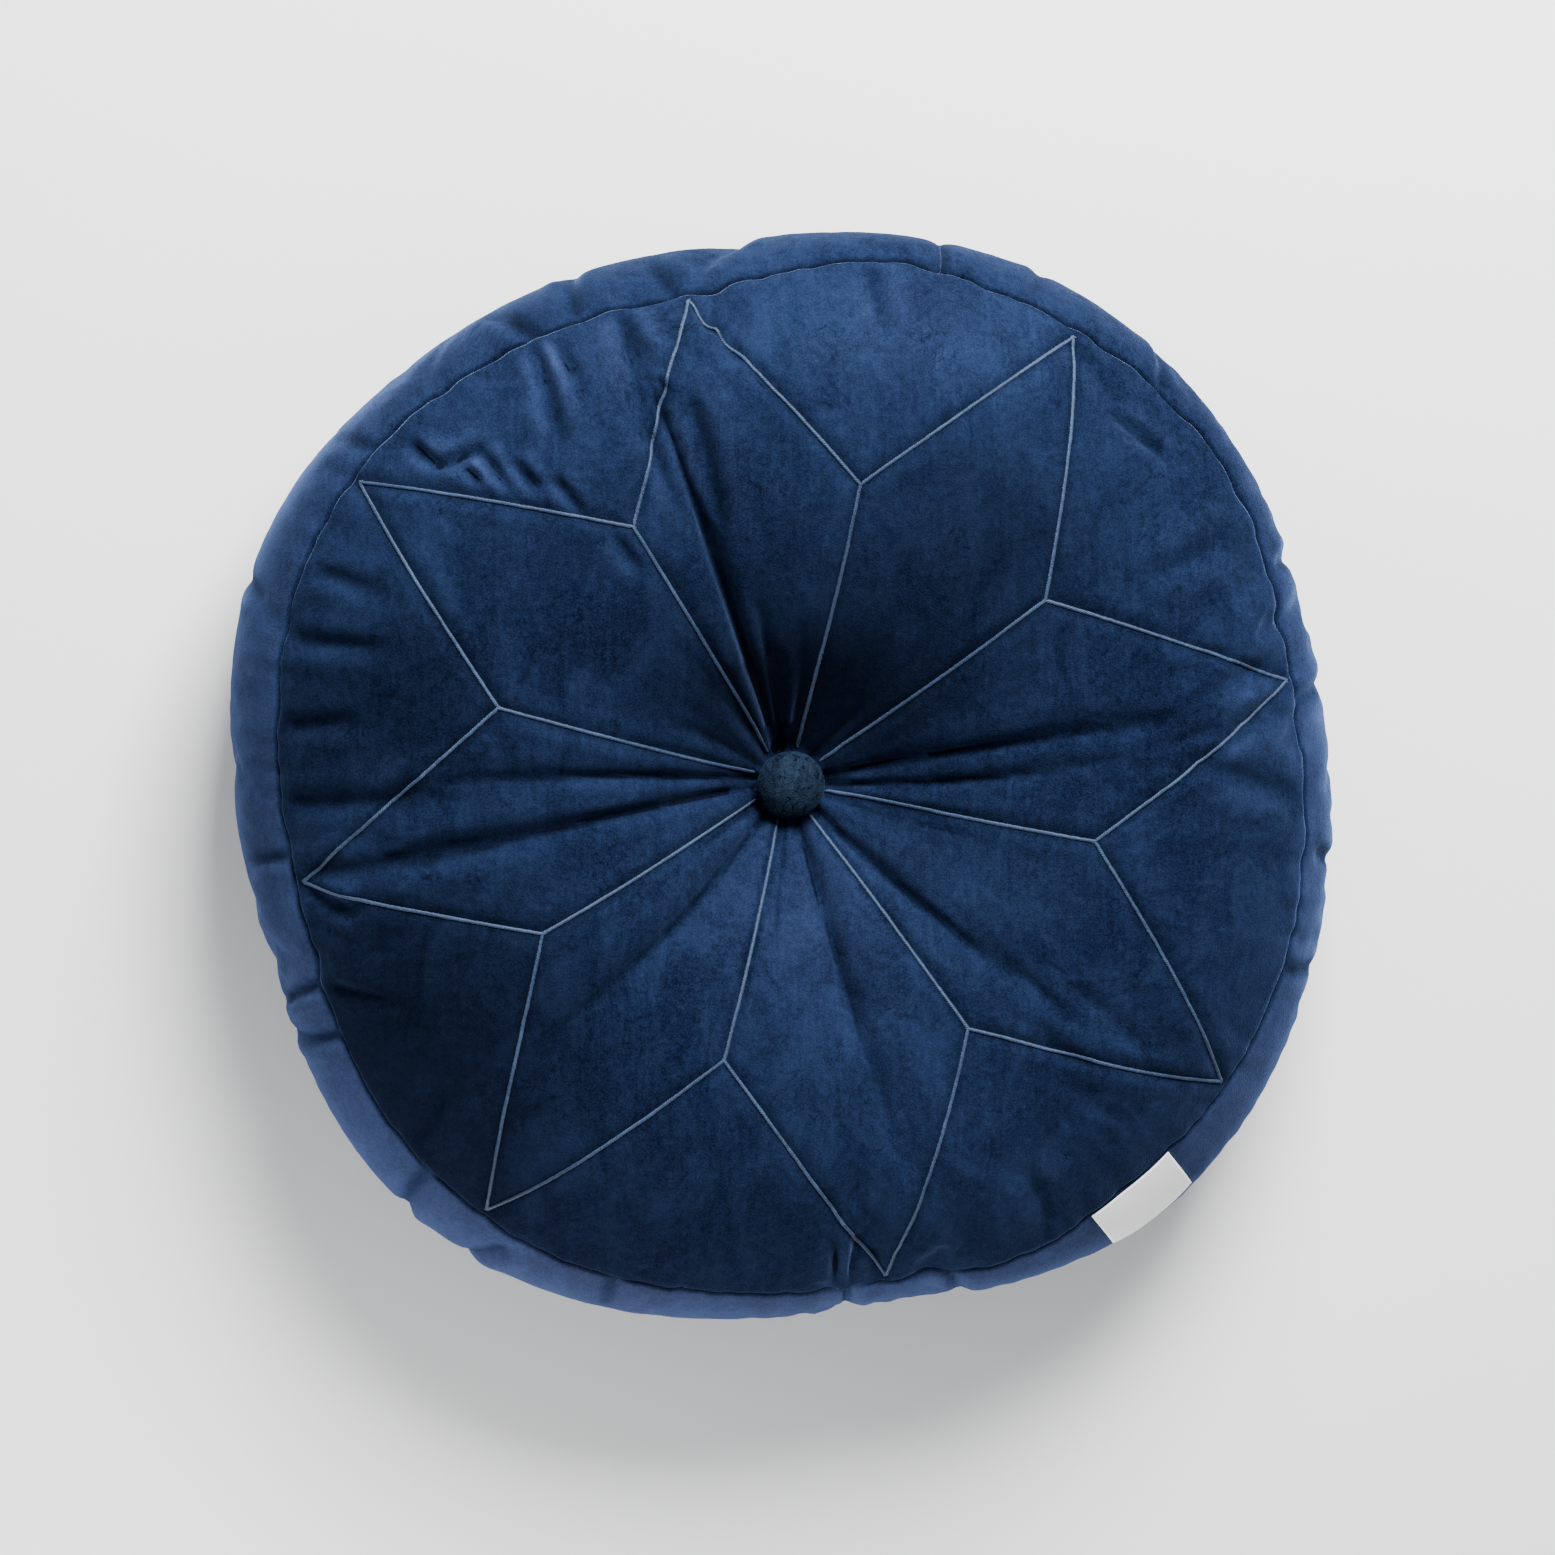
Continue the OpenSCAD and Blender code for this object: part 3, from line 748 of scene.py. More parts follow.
def bandPiece(name, fromBearing, toBearing, body, material):   # a strip of the side band, closed
    chosen = [k for k, u in enumerate(allUs) if rim - 1e-9 <= u <= rim + high + 1e-9]
    step = 360 / finest
    first, last = round(fromBearing / step), round(toBearing / step)
    columns = [c % finest for c in range(first, last + 1)]
    outer = [cover[k][columns] for k in chosen]
    inner = [(cover[k] - cushion["cloth"] * coverNormal[k])[columns] for k in chosen]
    skip = 3
    lower = [inwards(outer[-1], cushion["allowance"] * t) + np.array([0, 0, 0.0003]) for t in (0.3, 1.0)]
    lowerIn = [lower[-1] + np.array([0, 0, 0.0007])]
    upper = [inwards(outer[0], cushion["allowance"] * t) - np.array([0, 0, 0.0003]) for t in (1.0, 0.3)]
    upperIn = [upper[0] - np.array([0, 0, 0.0007])]
    loop = outer + lower + lowerIn + list(reversed(inner[skip:-skip:3])) + upperIn + upper
    # the turned-in edges and the back get painted shade, as inside the seam
    paintedShadeAndLight = np.full((len(loop), len(columns)), -1.0)
    paintedShadeAndLight[:len(outer)] = [coverPaintedShadeAndLight[k][columns] for k in chosen]
    loop = np.array(loop)
    for column, sign in ((0, 1), (-1, -1)):       # the two ends stand a hair apart at the joins
        tangent = loop[:, column + sign] - loop[:, column]
        tangent /= np.maximum(np.linalg.norm(tangent, axis=1, keepdims=True), 1e-9)
        loop[:, column] += tangent * 0.00015
    n, m = loop.shape[0], loop.shape[1]
    index = lambda i, j: (i % n) * m + j
    faces = [(index(i, j), index(i, j + 1), index(i + 1, j + 1), index(i + 1, j))[::-1]
             for i in range(n) for j in range(m - 1)]
    faces += [tuple(index(i, 0) for i in range(n))[::-1], tuple(index(i, m - 1) for i in range(n))]
    return addPiece(name, loop.reshape(-1, 3), faces, body, material, [name],
                    ("band", paintedShadeAndLight.ravel()))


def spot(u, bearing, lift=0.0):    # a place on the finished cover, and the way it faces
    k = int(np.clip(np.searchsorted(allUs, u) - 1, 0, len(allUs) - 2))
    t = (u - allUs[k]) / (allUs[k + 1] - allUs[k])
    c = (bearing % 360) / 360 * finest
    j, w = int(c) % finest, c - int(c)
    i = (j + 1) % finest

    def mix(g):
        return (1 - t) * ((1 - w) * g[k, j] + w * g[k, i]) + t * ((1 - w) * g[k + 1, j] + w * g[k + 1, i])
    normal = mix(coverNormal)
    normal = normal / np.linalg.norm(normal)
    return mix(cover) + lift * normal, normal


def newMaterial(name):
    material = bpy.data.materials.new(name)
    material.use_nodes = True
    tree = material.node_tree
    return material, tree, tree.nodes["Principled BSDF"]


def newGroup(name, inputs, outputs):
    group = bpy.data.node_groups.new(name, "ShaderNodeTree")
    for label, kind, value in inputs:
        socket = group.interface.new_socket(label, in_out="INPUT", socket_type="NodeSocket" + kind)
        socket.default_value = value
    for label, kind in outputs:
        group.interface.new_socket(label, in_out="OUTPUT", socket_type="NodeSocket" + kind)
    return group, group.nodes.new("NodeGroupInput"), group.nodes.new("NodeGroupOutput")


def maths(tree, kind, a, b=None, clamp=False):
    node = tree.nodes.new("ShaderNodeMath")
    node.operation, node.use_clamp = kind, clamp
    for socket, value in zip(node.inputs, (a, b)):
        if isinstance(value, (int, float)):
            socket.default_value = value
        elif value is not None:
            tree.links.new(value, socket)
    return node.outputs[0]


def noiseOf(tree, vector, scale, detail=3.0, rough=0.5, distort=0.0, squeeze=None):
    if squeeze is not None:
        mapping = tree.nodes.new("ShaderNodeMapping")
        mapping.inputs["Scale"].default_value = squeeze
        tree.links.new(vector, mapping.inputs["Vector"])
        vector = mapping.outputs[0]
    node = tree.nodes.new("ShaderNodeTexNoise")
    node.inputs["Detail"].default_value = detail
    node.inputs["Roughness"].default_value = rough
    node.inputs["Distortion"].default_value = distort
    if isinstance(scale, (int, float)):
        node.inputs["Scale"].default_value = scale
    else:
        tree.links.new(scale, node.inputs["Scale"])
    tree.links.new(vector, node.inputs["Vector"])
    return node.outputs["Fac"]


def spread(tree, value, low, high):
    node = tree.nodes.new("ShaderNodeMapRange")
    node.interpolation_type = "SMOOTHSTEP"
    node.inputs["From Min"].default_value = low
    node.inputs["From Max"].default_value = high
    tree.links.new(value, node.inputs["Value"])
    return node.outputs[0]


def mixColour(tree, factor, a, b, kind="MIX"):
    node = tree.nodes.new("ShaderNodeMix")
    node.data_type, node.blend_type = "RGBA", kind
    if isinstance(factor, (int, float)):
        node.inputs[0].default_value = factor
    else:
        tree.links.new(factor, node.inputs[0])
    for socket, value in ((node.inputs[6], a), (node.inputs[7], b)):
        if isinstance(value, tuple):
            socket.default_value = (*value, 1.0)
        else:
            tree.links.new(value, socket)
    return node.outputs[2]


def velvetNap():               # how the pile lies: patches, wisps, streaks along the nap and single tufts
    group, inp, out = newGroup("velvetNap",
                               [("Coordinates", "Vector", (0, 0, 0)), ("Patch Size", "Float", 9.0),
                                ("Marks", "Float", 0.0), ("Mark Size", "Float", 95.0)],
                               [("Nap", "Float"), ("Bruise", "Float"), ("Pile", "Float")])
    where = inp.outputs["Coordinates"]
    broad = spread(group, noiseOf(group, where, inp.outputs["Patch Size"], 3.0, 0.55, 0.5), 0.34, 0.68)
    wisps = spread(group, noiseOf(group, where, 34.0, 10.0, 0.78, 0.8, (1.0, 0.6, 1.0)), 0.40, 0.66)
    grain = spread(group, noiseOf(group, where, 330.0, 4.0, 0.7), 0.30, 0.72)
    streaks = noiseOf(group, where, 1.0, 3.0, 0.6, 0.0, (560.0, 22.0, 22.0))
    tufts = spread(group, noiseOf(group, where, 1300.0, 2.0, 0.6), 0.30, 0.70)
    nap = maths(group, "MULTIPLY", broad, 0.24)
    for layer, share in ((wisps, 0.34), (grain, 0.26), (streaks, 0.28), (tufts, 0.36)):
        nap = maths(group, "ADD", nap, maths(group, "MULTIPLY", layer, share))
    nap = maths(group, "SUBTRACT", nap, 0.24, True)
    feather = spread(group, noiseOf(group, where, 17.0, 9.0, 0.78, 1.6), 0.56, 0.68)
    curl = noiseOf(group, where, inp.outputs["Mark Size"], 3.0, 0.5, 1.5)
    line = spread(group, maths(group, "ABSOLUTE", maths(group, "SUBTRACT", curl, 0.5)), 0.018, 0.004)
    marked = maths(group, "ADD", noiseOf(group, where, 22.0, 3.0, 0.5), inp.outputs["Marks"])
    marks = maths(group, "MULTIPLY", line, spread(group, marked, 0.57, 0.66))
    bruise = maths(group, "MAXIMUM", feather, marks)
    pile = maths(group, "ADD", maths(group, "MULTIPLY", streaks, 0.6), tufts)
    group.links.new(nap, out.inputs["Nap"])
    group.links.new(bruise, out.inputs["Bruise"])
    group.links.new(pile, out.inputs["Pile"])
    return group


velvetLook = {
    "deep": (0.0007, 0.0022, 0.0092),
    "lit": (0.0105, 0.0200, 0.0540),
    "bruised": (0.0006, 0.0014, 0.0056),
    "bruises": 0.65,
    "raised": (0.0250, 0.0290, 0.0560), "paintedSheenShare": 0.29,   # painted sheen: a greyer colour mixed in where the lay attribute is positive, as on the band's lit front
    "sheen": 0.42, "sheenTint": (0.175, 0.280, 0.61),
    "patch": 8.0, "marks": 0.0, "markSize": 95.0, "bump": 0.35,
}


def velvet(name, changes=()):
    look = {**velvetLook, **dict(changes)}
    material, tree, shader = newMaterial(name)
    coordinates = tree.nodes.new("ShaderNodeTexCoord").outputs["Object"]
    nap = tree.nodes.new("ShaderNodeGroup")
    nap.node_tree = napGroup
    nap.inputs["Patch Size"].default_value = look["patch"]
    nap.inputs["Marks"].default_value = look["marks"]
    nap.inputs["Mark Size"].default_value = look["markSize"]
    tree.links.new(coordinates, nap.inputs["Coordinates"])
    colour = mixColour(tree, nap.outputs["Nap"], look["deep"], look["lit"])
    bruise = maths(tree, "MULTIPLY", nap.outputs["Bruise"], look["bruises"])
    colour = mixColour(tree, bruise, colour, look["bruised"])
    lay = tree.nodes.new("ShaderNodeAttribute")
    lay.attribute_name = "lay"
    # painted sheen: a positive lay mixes in the greyer colour
    raised = maths(tree, "MULTIPLY", lay.outputs["Fac"], look["paintedSheenShare"], True)
    colour = mixColour(tree, raised, colour, look["raised"])
    # the lay attribute scales the colour by 3 to its power: painted light and shade from the band's front, the
    # patches and the creases, folds and seams
    scaled = tree.nodes.new("ShaderNodeVectorMath")
    scaled.operation = "SCALE"
    tree.links.new(colour, scaled.inputs[0])
    tree.links.new(maths(tree, "POWER", 3.0, lay.outputs["Fac"]), scaled.inputs["Scale"])
    tree.links.new(scaled.outputs[0], shader.inputs["Base Color"])
    shader.inputs["Roughness"].default_value = 0.9
    bump = tree.nodes.new("ShaderNodeBump")
    bump.inputs["Strength"].default_value = look["bump"]
    bump.inputs["Distance"].default_value = 0.0004
    tree.links.new(nap.outputs["Pile"], bump.inputs["Height"])
    tree.links.new(bump.outputs[0], shader.inputs["Normal"])
    shader.inputs["Specular IOR Level"].default_value = 0.02
    shader.inputs["Sheen Weight"].default_value = look["sheen"]
    shader.inputs["Sheen Roughness"].default_value = 0.34
    shader.inputs["Sheen Tint"].default_value = (*look["sheenTint"], 1.0)
    return material


def threadMaterial(name, dark, light, scale, sheen):   # fibres of a thread, a little uneven along it
    material, tree, shader = newMaterial(name)
    coordinates = tree.nodes.new("ShaderNodeTexCoord").outputs["Object"]
    fibres = noiseOf(tree, coordinates, scale, 4.0, 0.7)
    slow = noiseOf(tree, coordinates, 30.0, 2.0, 0.5)
    mask = maths(tree, "ADD", maths(tree, "MULTIPLY", fibres, 0.7), maths(tree, "MULTIPLY", slow, 0.4), True)
    tree.links.new(mixColour(tree, spread(tree, mask, 0.35, 0.8), dark, light), shader.inputs["Base Color"])
    shader.inputs["Roughness"].default_value = 0.5
    shader.inputs["Specular IOR Level"].default_value = 0.2
    shader.inputs["Sheen Weight"].default_value = sheen
    shader.inputs["Sheen Roughness"].default_value = 0.4
    bump = tree.nodes.new("ShaderNodeBump")
    bump.inputs["Strength"].default_value = 0.5
    bump.inputs["Distance"].default_value = 0.0002
    tree.links.new(fibres, bump.inputs["Height"])
    tree.links.new(bump.outputs[0], shader.inputs["Normal"])
    return material


def steelMaterial():
    material, tree, shader = newMaterial("platedSteel")
    coordinates = tree.nodes.new("ShaderNodeTexCoord").outputs["Object"]
    brushed = noiseOf(tree, coordinates, 1.0, 3.0, 0.6, 0.0, (300.0, 2400.0, 300.0))
    stains = spread(tree, noiseOf(tree, coordinates, 160.0, 4.0, 0.6), 0.4, 0.75)
    metal = mixColour(tree, stains, (0.56, 0.57, 0.59), (0.44, 0.44, 0.45))
    tree.links.new(metal, shader.inputs["Base Color"])
    tree.links.new(maths(tree, "MULTIPLY_ADD", brushed, 0.3), shader.inputs["Roughness"])
    tree.nodes[-1].inputs[2].default_value = 0.18
    shader.inputs["Metallic"].default_value = 1.0
    return material


def wovenMaterial():           # satin ribbon: fine warp lines crossed by a faint weft
    material, tree, shader = newMaterial("wovenLabel")
    coordinates = tree.nodes.new("ShaderNodeTexCoord").outputs["UV"]
    warp = tree.nodes.new("ShaderNodeTexWave")
    warp.bands_direction = "X"
    warp.inputs["Scale"].default_value = 46.0
    weft = tree.nodes.new("ShaderNodeTexWave")
    weft.bands_direction = "Y"
    weft.inputs["Scale"].default_value = 30.0
    for wave in (warp, weft):
        wave.inputs["Distortion"].default_value = 0.4
        tree.links.new(coordinates, wave.inputs["Vector"])
    weave = maths(tree, "MULTIPLY", warp.outputs["Fac"], weft.outputs["Fac"])
    soil = spread(tree, noiseOf(tree, coordinates, 3.0, 4.0, 0.6), 0.45, 0.9)
    colour = mixColour(tree, weave, (0.94, 0.94, 0.93), (0.99, 0.99, 0.98))
    soiled = mixColour(tree, maths(tree, "MULTIPLY", soil, 0.15), colour, (0.80, 0.79, 0.77))
    tree.links.new(soiled, shader.inputs["Base Color"])
    shader.inputs["Roughness"].default_value = 0.55
    bump = tree.nodes.new("ShaderNodeBump")
    bump.inputs["Strength"].default_value = 0.25
    bump.inputs["Distance"].default_value = 0.0002
    tree.links.new(weave, bump.inputs["Height"])
    tree.links.new(bump.outputs[0], shader.inputs["Normal"])
    return material


napGroup = velvetNap()
coverVelvet = velvet("navyVelvet")
buttonVelvet = velvet("buttonVelvet", {
    "patch": 60.0, "deep": (0.0008, 0.0020, 0.0050), "lit": (0.0135, 0.0250, 0.0460),
    "bruises": 0.95, "marks": 0.3, "markSize": 85.0, "sheen": 0.12,
})
petalThread = threadMaterial("embroideryThread", (0.010, 0.020, 0.046), (0.034, 0.062, 0.122), 900.0, 0.05)
darkThread = threadMaterial("seamThread", (0.0008, 0.0015, 0.0040), (0.0030, 0.0055, 0.0130), 1400.0, 0.0)
twineMaterial = threadMaterial("waxedTwine", (0.42, 0.34, 0.22), (0.70, 0.62, 0.46), 700.0, 0.1)
fillMaterial = threadMaterial("polyesterFibre", (0.78, 0.78, 0.76), (0.93, 0.93, 0.92), 260.0, 0.4)
steel = steelMaterial()
labelWeave = wovenMaterial()

print("pieces: cover")
topPanel = panelPiece("top_panel", False, "seat_top", coverVelvet)
bottomPanel = panelPiece("bottom_panel", True, "base", coverVelvet)
topPanel.name, bottomPanel.name = "topPanelCover", "bottomPanelCover"
bandRight = bandPiece("band_right", cushion["frontJoin"], cushion["backJoin"], None, coverVelvet)
bandLeft = bandPiece("band_left", cushion["backJoin"], 360 + cushion["frontJoin"], None, coverVelvet)
bandRight.name, bandLeft.name = "bandRightCover", "bandLeftCover"


def stitchTree():              # lays stitches along a path
    tree = bpy.data.node_groups.new("stitchRow", "GeometryNodeTree")
    face = tree.interface
    face.new_socket("Geometry", in_out="INPUT", socket_type="NodeSocketGeometry")
    for label, value in (("Pitch", 0.0012), ("Length", 0.0026), ("Width", 0.0009), ("Height", 0.0008),
                         ("Slant", 0.45), ("Unevenness", 0.12)):
        face.new_socket(label, in_out="INPUT", socket_type="NodeSocketFloat").default_value = value
    face.new_socket("Seed", in_out="INPUT", socket_type="NodeSocketInt").default_value = 1
    face.new_socket("Thread", in_out="INPUT", socket_type="NodeSocketMaterial")
    face.new_socket("Geometry", in_out="OUTPUT", socket_type="NodeSocketGeometry")
    nodes, links = tree.nodes, tree.links
    inp, out = nodes.new("NodeGroupInput"), nodes.new("NodeGroupOutput")
    curve = nodes.new("GeometryNodeMeshToCurve")
    links.new(inp.outputs["Geometry"], curve.inputs["Mesh"])
    resample = nodes.new("GeometryNodeResampleCurve")
    resample.mode = "LENGTH"
    links.new(curve.outputs["Curve"], resample.inputs["Curve"])
    links.new(inp.outputs["Pitch"], resample.inputs["Length"])
    up = nodes.new("GeometryNodeInputNamedAttribute")
    up.data_type = "FLOAT_VECTOR"
    up.inputs["Name"].default_value = "facing"
    tangent = nodes.new("GeometryNodeInputTangent")
    along = nodes.new("FunctionNodeAlignRotationToVector")
    along.axis = "X"
    links.new(tangent.outputs[0], along.inputs["Vector"])
    upright = nodes.new("FunctionNodeAlignRotationToVector")
    upright.axis, upright.pivot_axis = "Z", "X"
    links.new(along.outputs[0], upright.inputs["Rotation"])
    links.new(up.outputs["Attribute"], upright.inputs["Vector"])
    slant = nodes.new("FunctionNodeAxisAngleToRotation")
    slant.inputs["Axis"].default_value = (0, 0, 1)
    wobble = nodes.new("FunctionNodeRandomValue")
    wobble.data_type = "FLOAT"
    wobble.inputs[2].default_value = -1.0
    wobble.inputs[3].default_value = 1.0
    links.new(inp.outputs["Seed"], wobble.inputs["Seed"])
    uneven = nodes.new("ShaderNodeMath")
    uneven.operation = "MULTIPLY_ADD"
    links.new(wobble.outputs[1], uneven.inputs[0])
    links.new(inp.outputs["Unevenness"], uneven.inputs[1])
    links.new(inp.outputs["Slant"], uneven.inputs[2])
    links.new(uneven.outputs[0], slant.inputs["Angle"])
    turn = nodes.new("FunctionNodeRotateRotation")
    turn.rotation_space = "LOCAL"
    links.new(upright.outputs[0], turn.inputs["Rotation"])
    links.new(slant.outputs[0], turn.inputs["Rotate By"])
    ball = nodes.new("GeometryNodeMeshUVSphere")
    ball.inputs["Segments"].default_value = 8
    ball.inputs["Rings"].default_value = 5
    ball.inputs["Radius"].default_value = 0.5
    lay = nodes.new("GeometryNodeTransform")
    lay.inputs["Rotation"].default_value = (0, math.pi / 2, 0)
    links.new(ball.outputs["Mesh"], lay.inputs["Geometry"])
    size = nodes.new("ShaderNodeCombineXYZ")
    for axis, label in zip("XYZ", ("Length", "Width", "Height")):
        links.new(inp.outputs[label], size.inputs[axis])
    place = nodes.new("GeometryNodeInstanceOnPoints")
    links.new(resample.outputs["Curve"], place.inputs["Points"])
    links.new(lay.outputs["Geometry"], place.inputs["Instance"])
    links.new(turn.outputs[0], place.inputs["Rotation"])
    links.new(size.outputs[0], place.inputs["Scale"])
    real = nodes.new("GeometryNodeRealizeInstances")
    links.new(place.outputs["Instances"], real.inputs["Geometry"])
    smooth = nodes.new("GeometryNodeSetShadeSmooth")
    links.new(real.outputs["Geometry"], smooth.inputs["Geometry"])
    paint = nodes.new("GeometryNodeSetMaterial")
    links.new(smooth.outputs["Geometry"], paint.inputs["Geometry"])
    links.new(inp.outputs["Thread"], paint.inputs["Material"])
    links.new(paint.outputs["Geometry"], out.inputs["Geometry"])
    return tree


stitching = stitchTree()


def stitchPiece(name, lines, values, thread, body, nodes):   # rows of stitches along the lines
    points, facings, edges = [], [], []   # each line is a list of (place, facing)
    for line in lines:
        first = len(points)
        points += [tuple(p) for p, _ in line]
        facings += [tuple(n) for _, n in line]
        edges += [(first + k, first + k + 1) for k in range(len(line) - 1)]
    mesh = bpy.data.meshes.new(name + "Path")
    mesh.from_pydata(points, edges, [])
    facing = mesh.attributes.new("facing", "FLOAT_VECTOR", "POINT")
    facing.data.foreach_set("vector", np.array(facings).ravel())
    path = bpy.data.objects.new(name + "Path", mesh)
    bpy.context.scene.collection.objects.link(path)
    modifier = path.modifiers.new("stitches", "NODES")
    modifier.node_group = stitching
    for item in stitching.interface.items_tree:
        if item.item_type == "SOCKET" and item.in_out == "INPUT" and item.name in values:
            modifier[item.identifier] = values[item.name]
        if item.item_type == "SOCKET" and item.in_out == "INPUT" and item.name == "Thread":
            modifier[item.identifier] = thread
    done = bpy.data.meshes.new_from_object(path.evaluated_get(bpy.context.evaluated_depsgraph_get()))
    done.name = name
    for spare in [a.name for a in done.attributes if a.name == "facing"]:
        done.attributes.remove(done.attributes[spare])
    bpy.data.objects.remove(path)
    piece = bpy.data.objects.new(name, done)
    bpy.context.scene.collection.objects.link(piece)
    if body:
        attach(piece, body)
    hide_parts(*nodes)
    return piece


def flowerPath(i):             # out along a spoke, round the petal's tip and back to the next notch
    corners = petalCorners(i)
    last = corners[2] - corners[3]
    corners[-1] = corners[-1] + last / np.linalg.norm(last) * 0.0012   # stops short of the next petal
    line = []
    for a, b in zip(corners, corners[1:]):
        count = int(np.linalg.norm(b - a) / 0.0016)
        line += [a + (b - a) * k / count for k in range(count)]
    line.append(corners[-1])
    return [spot(np.hypot(*p), math.degrees(math.atan2(p[1], p[0])), 0.0003) for p in line]


print("pieces: embroidery and seams")
for i in range(len(flower["tips"])):
    stitchPiece("petalStitch%d" % (i + 1), [flowerPath(i)], {**flower["stitch"], "Seed": i + 1}, petalThread,
                "seat_top", ["petal_stitch_%d" % (i + 1)])

seamLook = {
    "Pitch": 0.0032, "Length": 0.0030, "Width": 0.0006, "Height": 0.0005, "Slant": 0.0, "Unevenness": 0.05,
}


def seamLine(u, fromBearing, toBearing, lift):
    return [spot(u, b, lift) for b in np.arange(fromBearing, toBearing + 0.01, 0.5)]


closing = {                    # where the cushion was closed by hand, along the bottom seam
    "from": 96.0, "to": 136.0, "pitch": 1.1, "reach": 0.0022, "low": 0.0002, "high": 0.0010,
    "stitch": {**seamLook, "Pitch": 0.0011, "Length": 0.0018, "Seed": 23},
}


def closingRungs():
    lines = []
    for b in np.arange(closing["from"], closing["to"], closing["pitch"]):
        lines.append([spot(rim + high - closing["reach"], b, closing["low"]),
                      spot(rim + high, b + 0.15, closing["high"]),
                      spot(rim + high + closing["reach"], b + 0.3, closing["low"])])
    return lines


topLine = seamLine(rim, 0, 360, -0.0002)
stitchPiece("topSeamThread", [topLine], {**seamLook, "Seed": 21}, darkThread, "seat_top",
            ["top_seam_thread"])
lowLine = seamLine(rim + high, closing["to"], closing["from"] + 360, -0.0002)
stitchPiece("bottomSeamThread", [lowLine], {**seamLook, "Seed": 22}, darkThread, "base",
            ["bottom_seam_thread"])
stitchPiece("closingStitches", closingRungs(), closing["stitch"], darkThread, "base",
            ["closing_stitches"])
joinLines = [[spot(u, join, -0.0022) for u in np.linspace(rim + 0.006, rim + high - 0.006, 40)]
             for join in (cushion["frontJoin"], cushion["backJoin"])]
joinThreads = stitchPiece("bandJoinThreads", joinLines, {**seamLook, "Seed": 24}, darkThread, None,
                          ["band_join_threads"])

button = {"pleats": 26, "pleatDepth": 0.00030, "columns": 156, "edge": 0.0030, "opening": 0.0046}


def buttonCover(name, body, base, side, nodes, material):   # velvet drawn over a dome and pleated under its rim
    r, h, e, cloth = buttonRadius, buttonHeight, button["edge"], cushion["cloth"]
    edgeX, rise = r - e, h - e
    capR = (edgeX ** 2 + rise ** 2 - e ** 2) / (2 * (rise - e))
    capZ = h - capR
    lean = math.atan2(edgeX, e - capZ)
    outline = [(capR * math.sin(a), capZ + capR * math.cos(a)) for a in np.linspace(0, lean, 16)]
    outline += [(edgeX + e * math.sin(a), e + e * math.cos(a)) for a in np.linspace(lean, math.pi, 16)[1:]]
    outline += [(r - button["opening"], 0.0)]
    inner = [(r - button["opening"], cloth)]
    inner += [(edgeX + (e - cloth) * math.sin(a), e + (e - cloth) * math.cos(a))
              for a in np.linspace(math.pi, lean, 14)]
    inner += [((capR - cloth) * math.sin(a), capZ + (capR - cloth) * math.cos(a))
              for a in np.linspace(lean, 0, 14)[1:]]
    turn = np.radians(bearingsOf(button["columns"]))
    rings = []
    for k, (x, z) in enumerate(outline):
        if x < 1e-9:
            rings.append(np.array([[0, 0, z]]))
            continue
        near = smoothStep((x - r * 0.80) / (r * 0.16)) * smoothStep((h * 0.62 - z) / (h * 0.5))
        wave = np.cos(button["pleats"] * turn + 1.7 * np.sin(3 * turn)) * (0.6 + 0.4 * np.sin(5 * turn + 1))
        sag = 0.00012 * np.sin(4 * turn + 9 * x / r)
        radius = x - button["pleatDepth"] * near * (1 + wave) / 2
        height = np.full(len(turn), z) + sag * smoothStep(x / (r * 0.5))
        rings.append(np.stack([radius * np.cos(turn), radius * np.sin(turn), np.maximum(height, 0)], axis=1))
    for x, z in inner:
        rings.append(np.array([[0, 0, z]]) if x < 1e-9
                     else np.stack([x * np.cos(turn), x * np.sin(turn), np.full(len(turn), z)], axis=1))
    points = np.concatenate(rings)
    faces = stitchRows(numberRows([len(q) for q in rings]))
    points[:, 2] = base + side * points[:, 2]
    if side < 0:
        faces = [f[::-1] for f in faces]
    return addPiece(name, points, faces, body, material, nodes)


print("pieces: buttons, label, fill and twine")
buttonCover("topButtonCover", "top_button", buttonBase, 1, ["top_button_cover"], buttonVelvet)
buttonCover("bottomButtonCover", "bottom_button", lowButtonBase, -1, ["bottom_button_cover"], buttonVelvet)
for node in ("shell", "back", "loop"):
    for where in ("top", "bottom"):
        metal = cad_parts["%s_button_%s" % (where, node)]
        metal.data.materials.clear()
        metal.data.materials.append(steel)

label = {"bearing": -50.0, "width": 0.046, "drop": 0.034, "thick": 0.0005, "from": 0.0012}


def laidRibbon(across, down, wide, long):      # the ribbon over the band, before it is measured
    front = np.zeros((down + 1, across + 1, 3))
    for j in range(down + 1):
        t = j / down
        u = rim + label["from"] + label["drop"] * long * t
        middle = spot(u, label["bearing"])[0]
        out = math.hypot(middle[0], middle[1])
        for i in range(across + 1):
            x = (i / across - 0.5) * label["width"] * wide
            lift = 0.0011 + 0.0006 * t + 0.0005 * t * math.sin(2.6 * i / across * math.pi)
            front[j, i] = spot(u, label["bearing"] + math.degrees(x / out), lift)[0]
    for _ in range(60):            # a ribbon doesn't follow every ripple of the velvet
        front[1:-1, :] = 0.5 * front[1:-1, :] + 0.25 * (front[:-2, :] + front[2:, :])
        front[:, 1:-1] = 0.5 * front[:, 1:-1] + 0.25 * (front[:, :-2] + front[:, 2:])
    return front


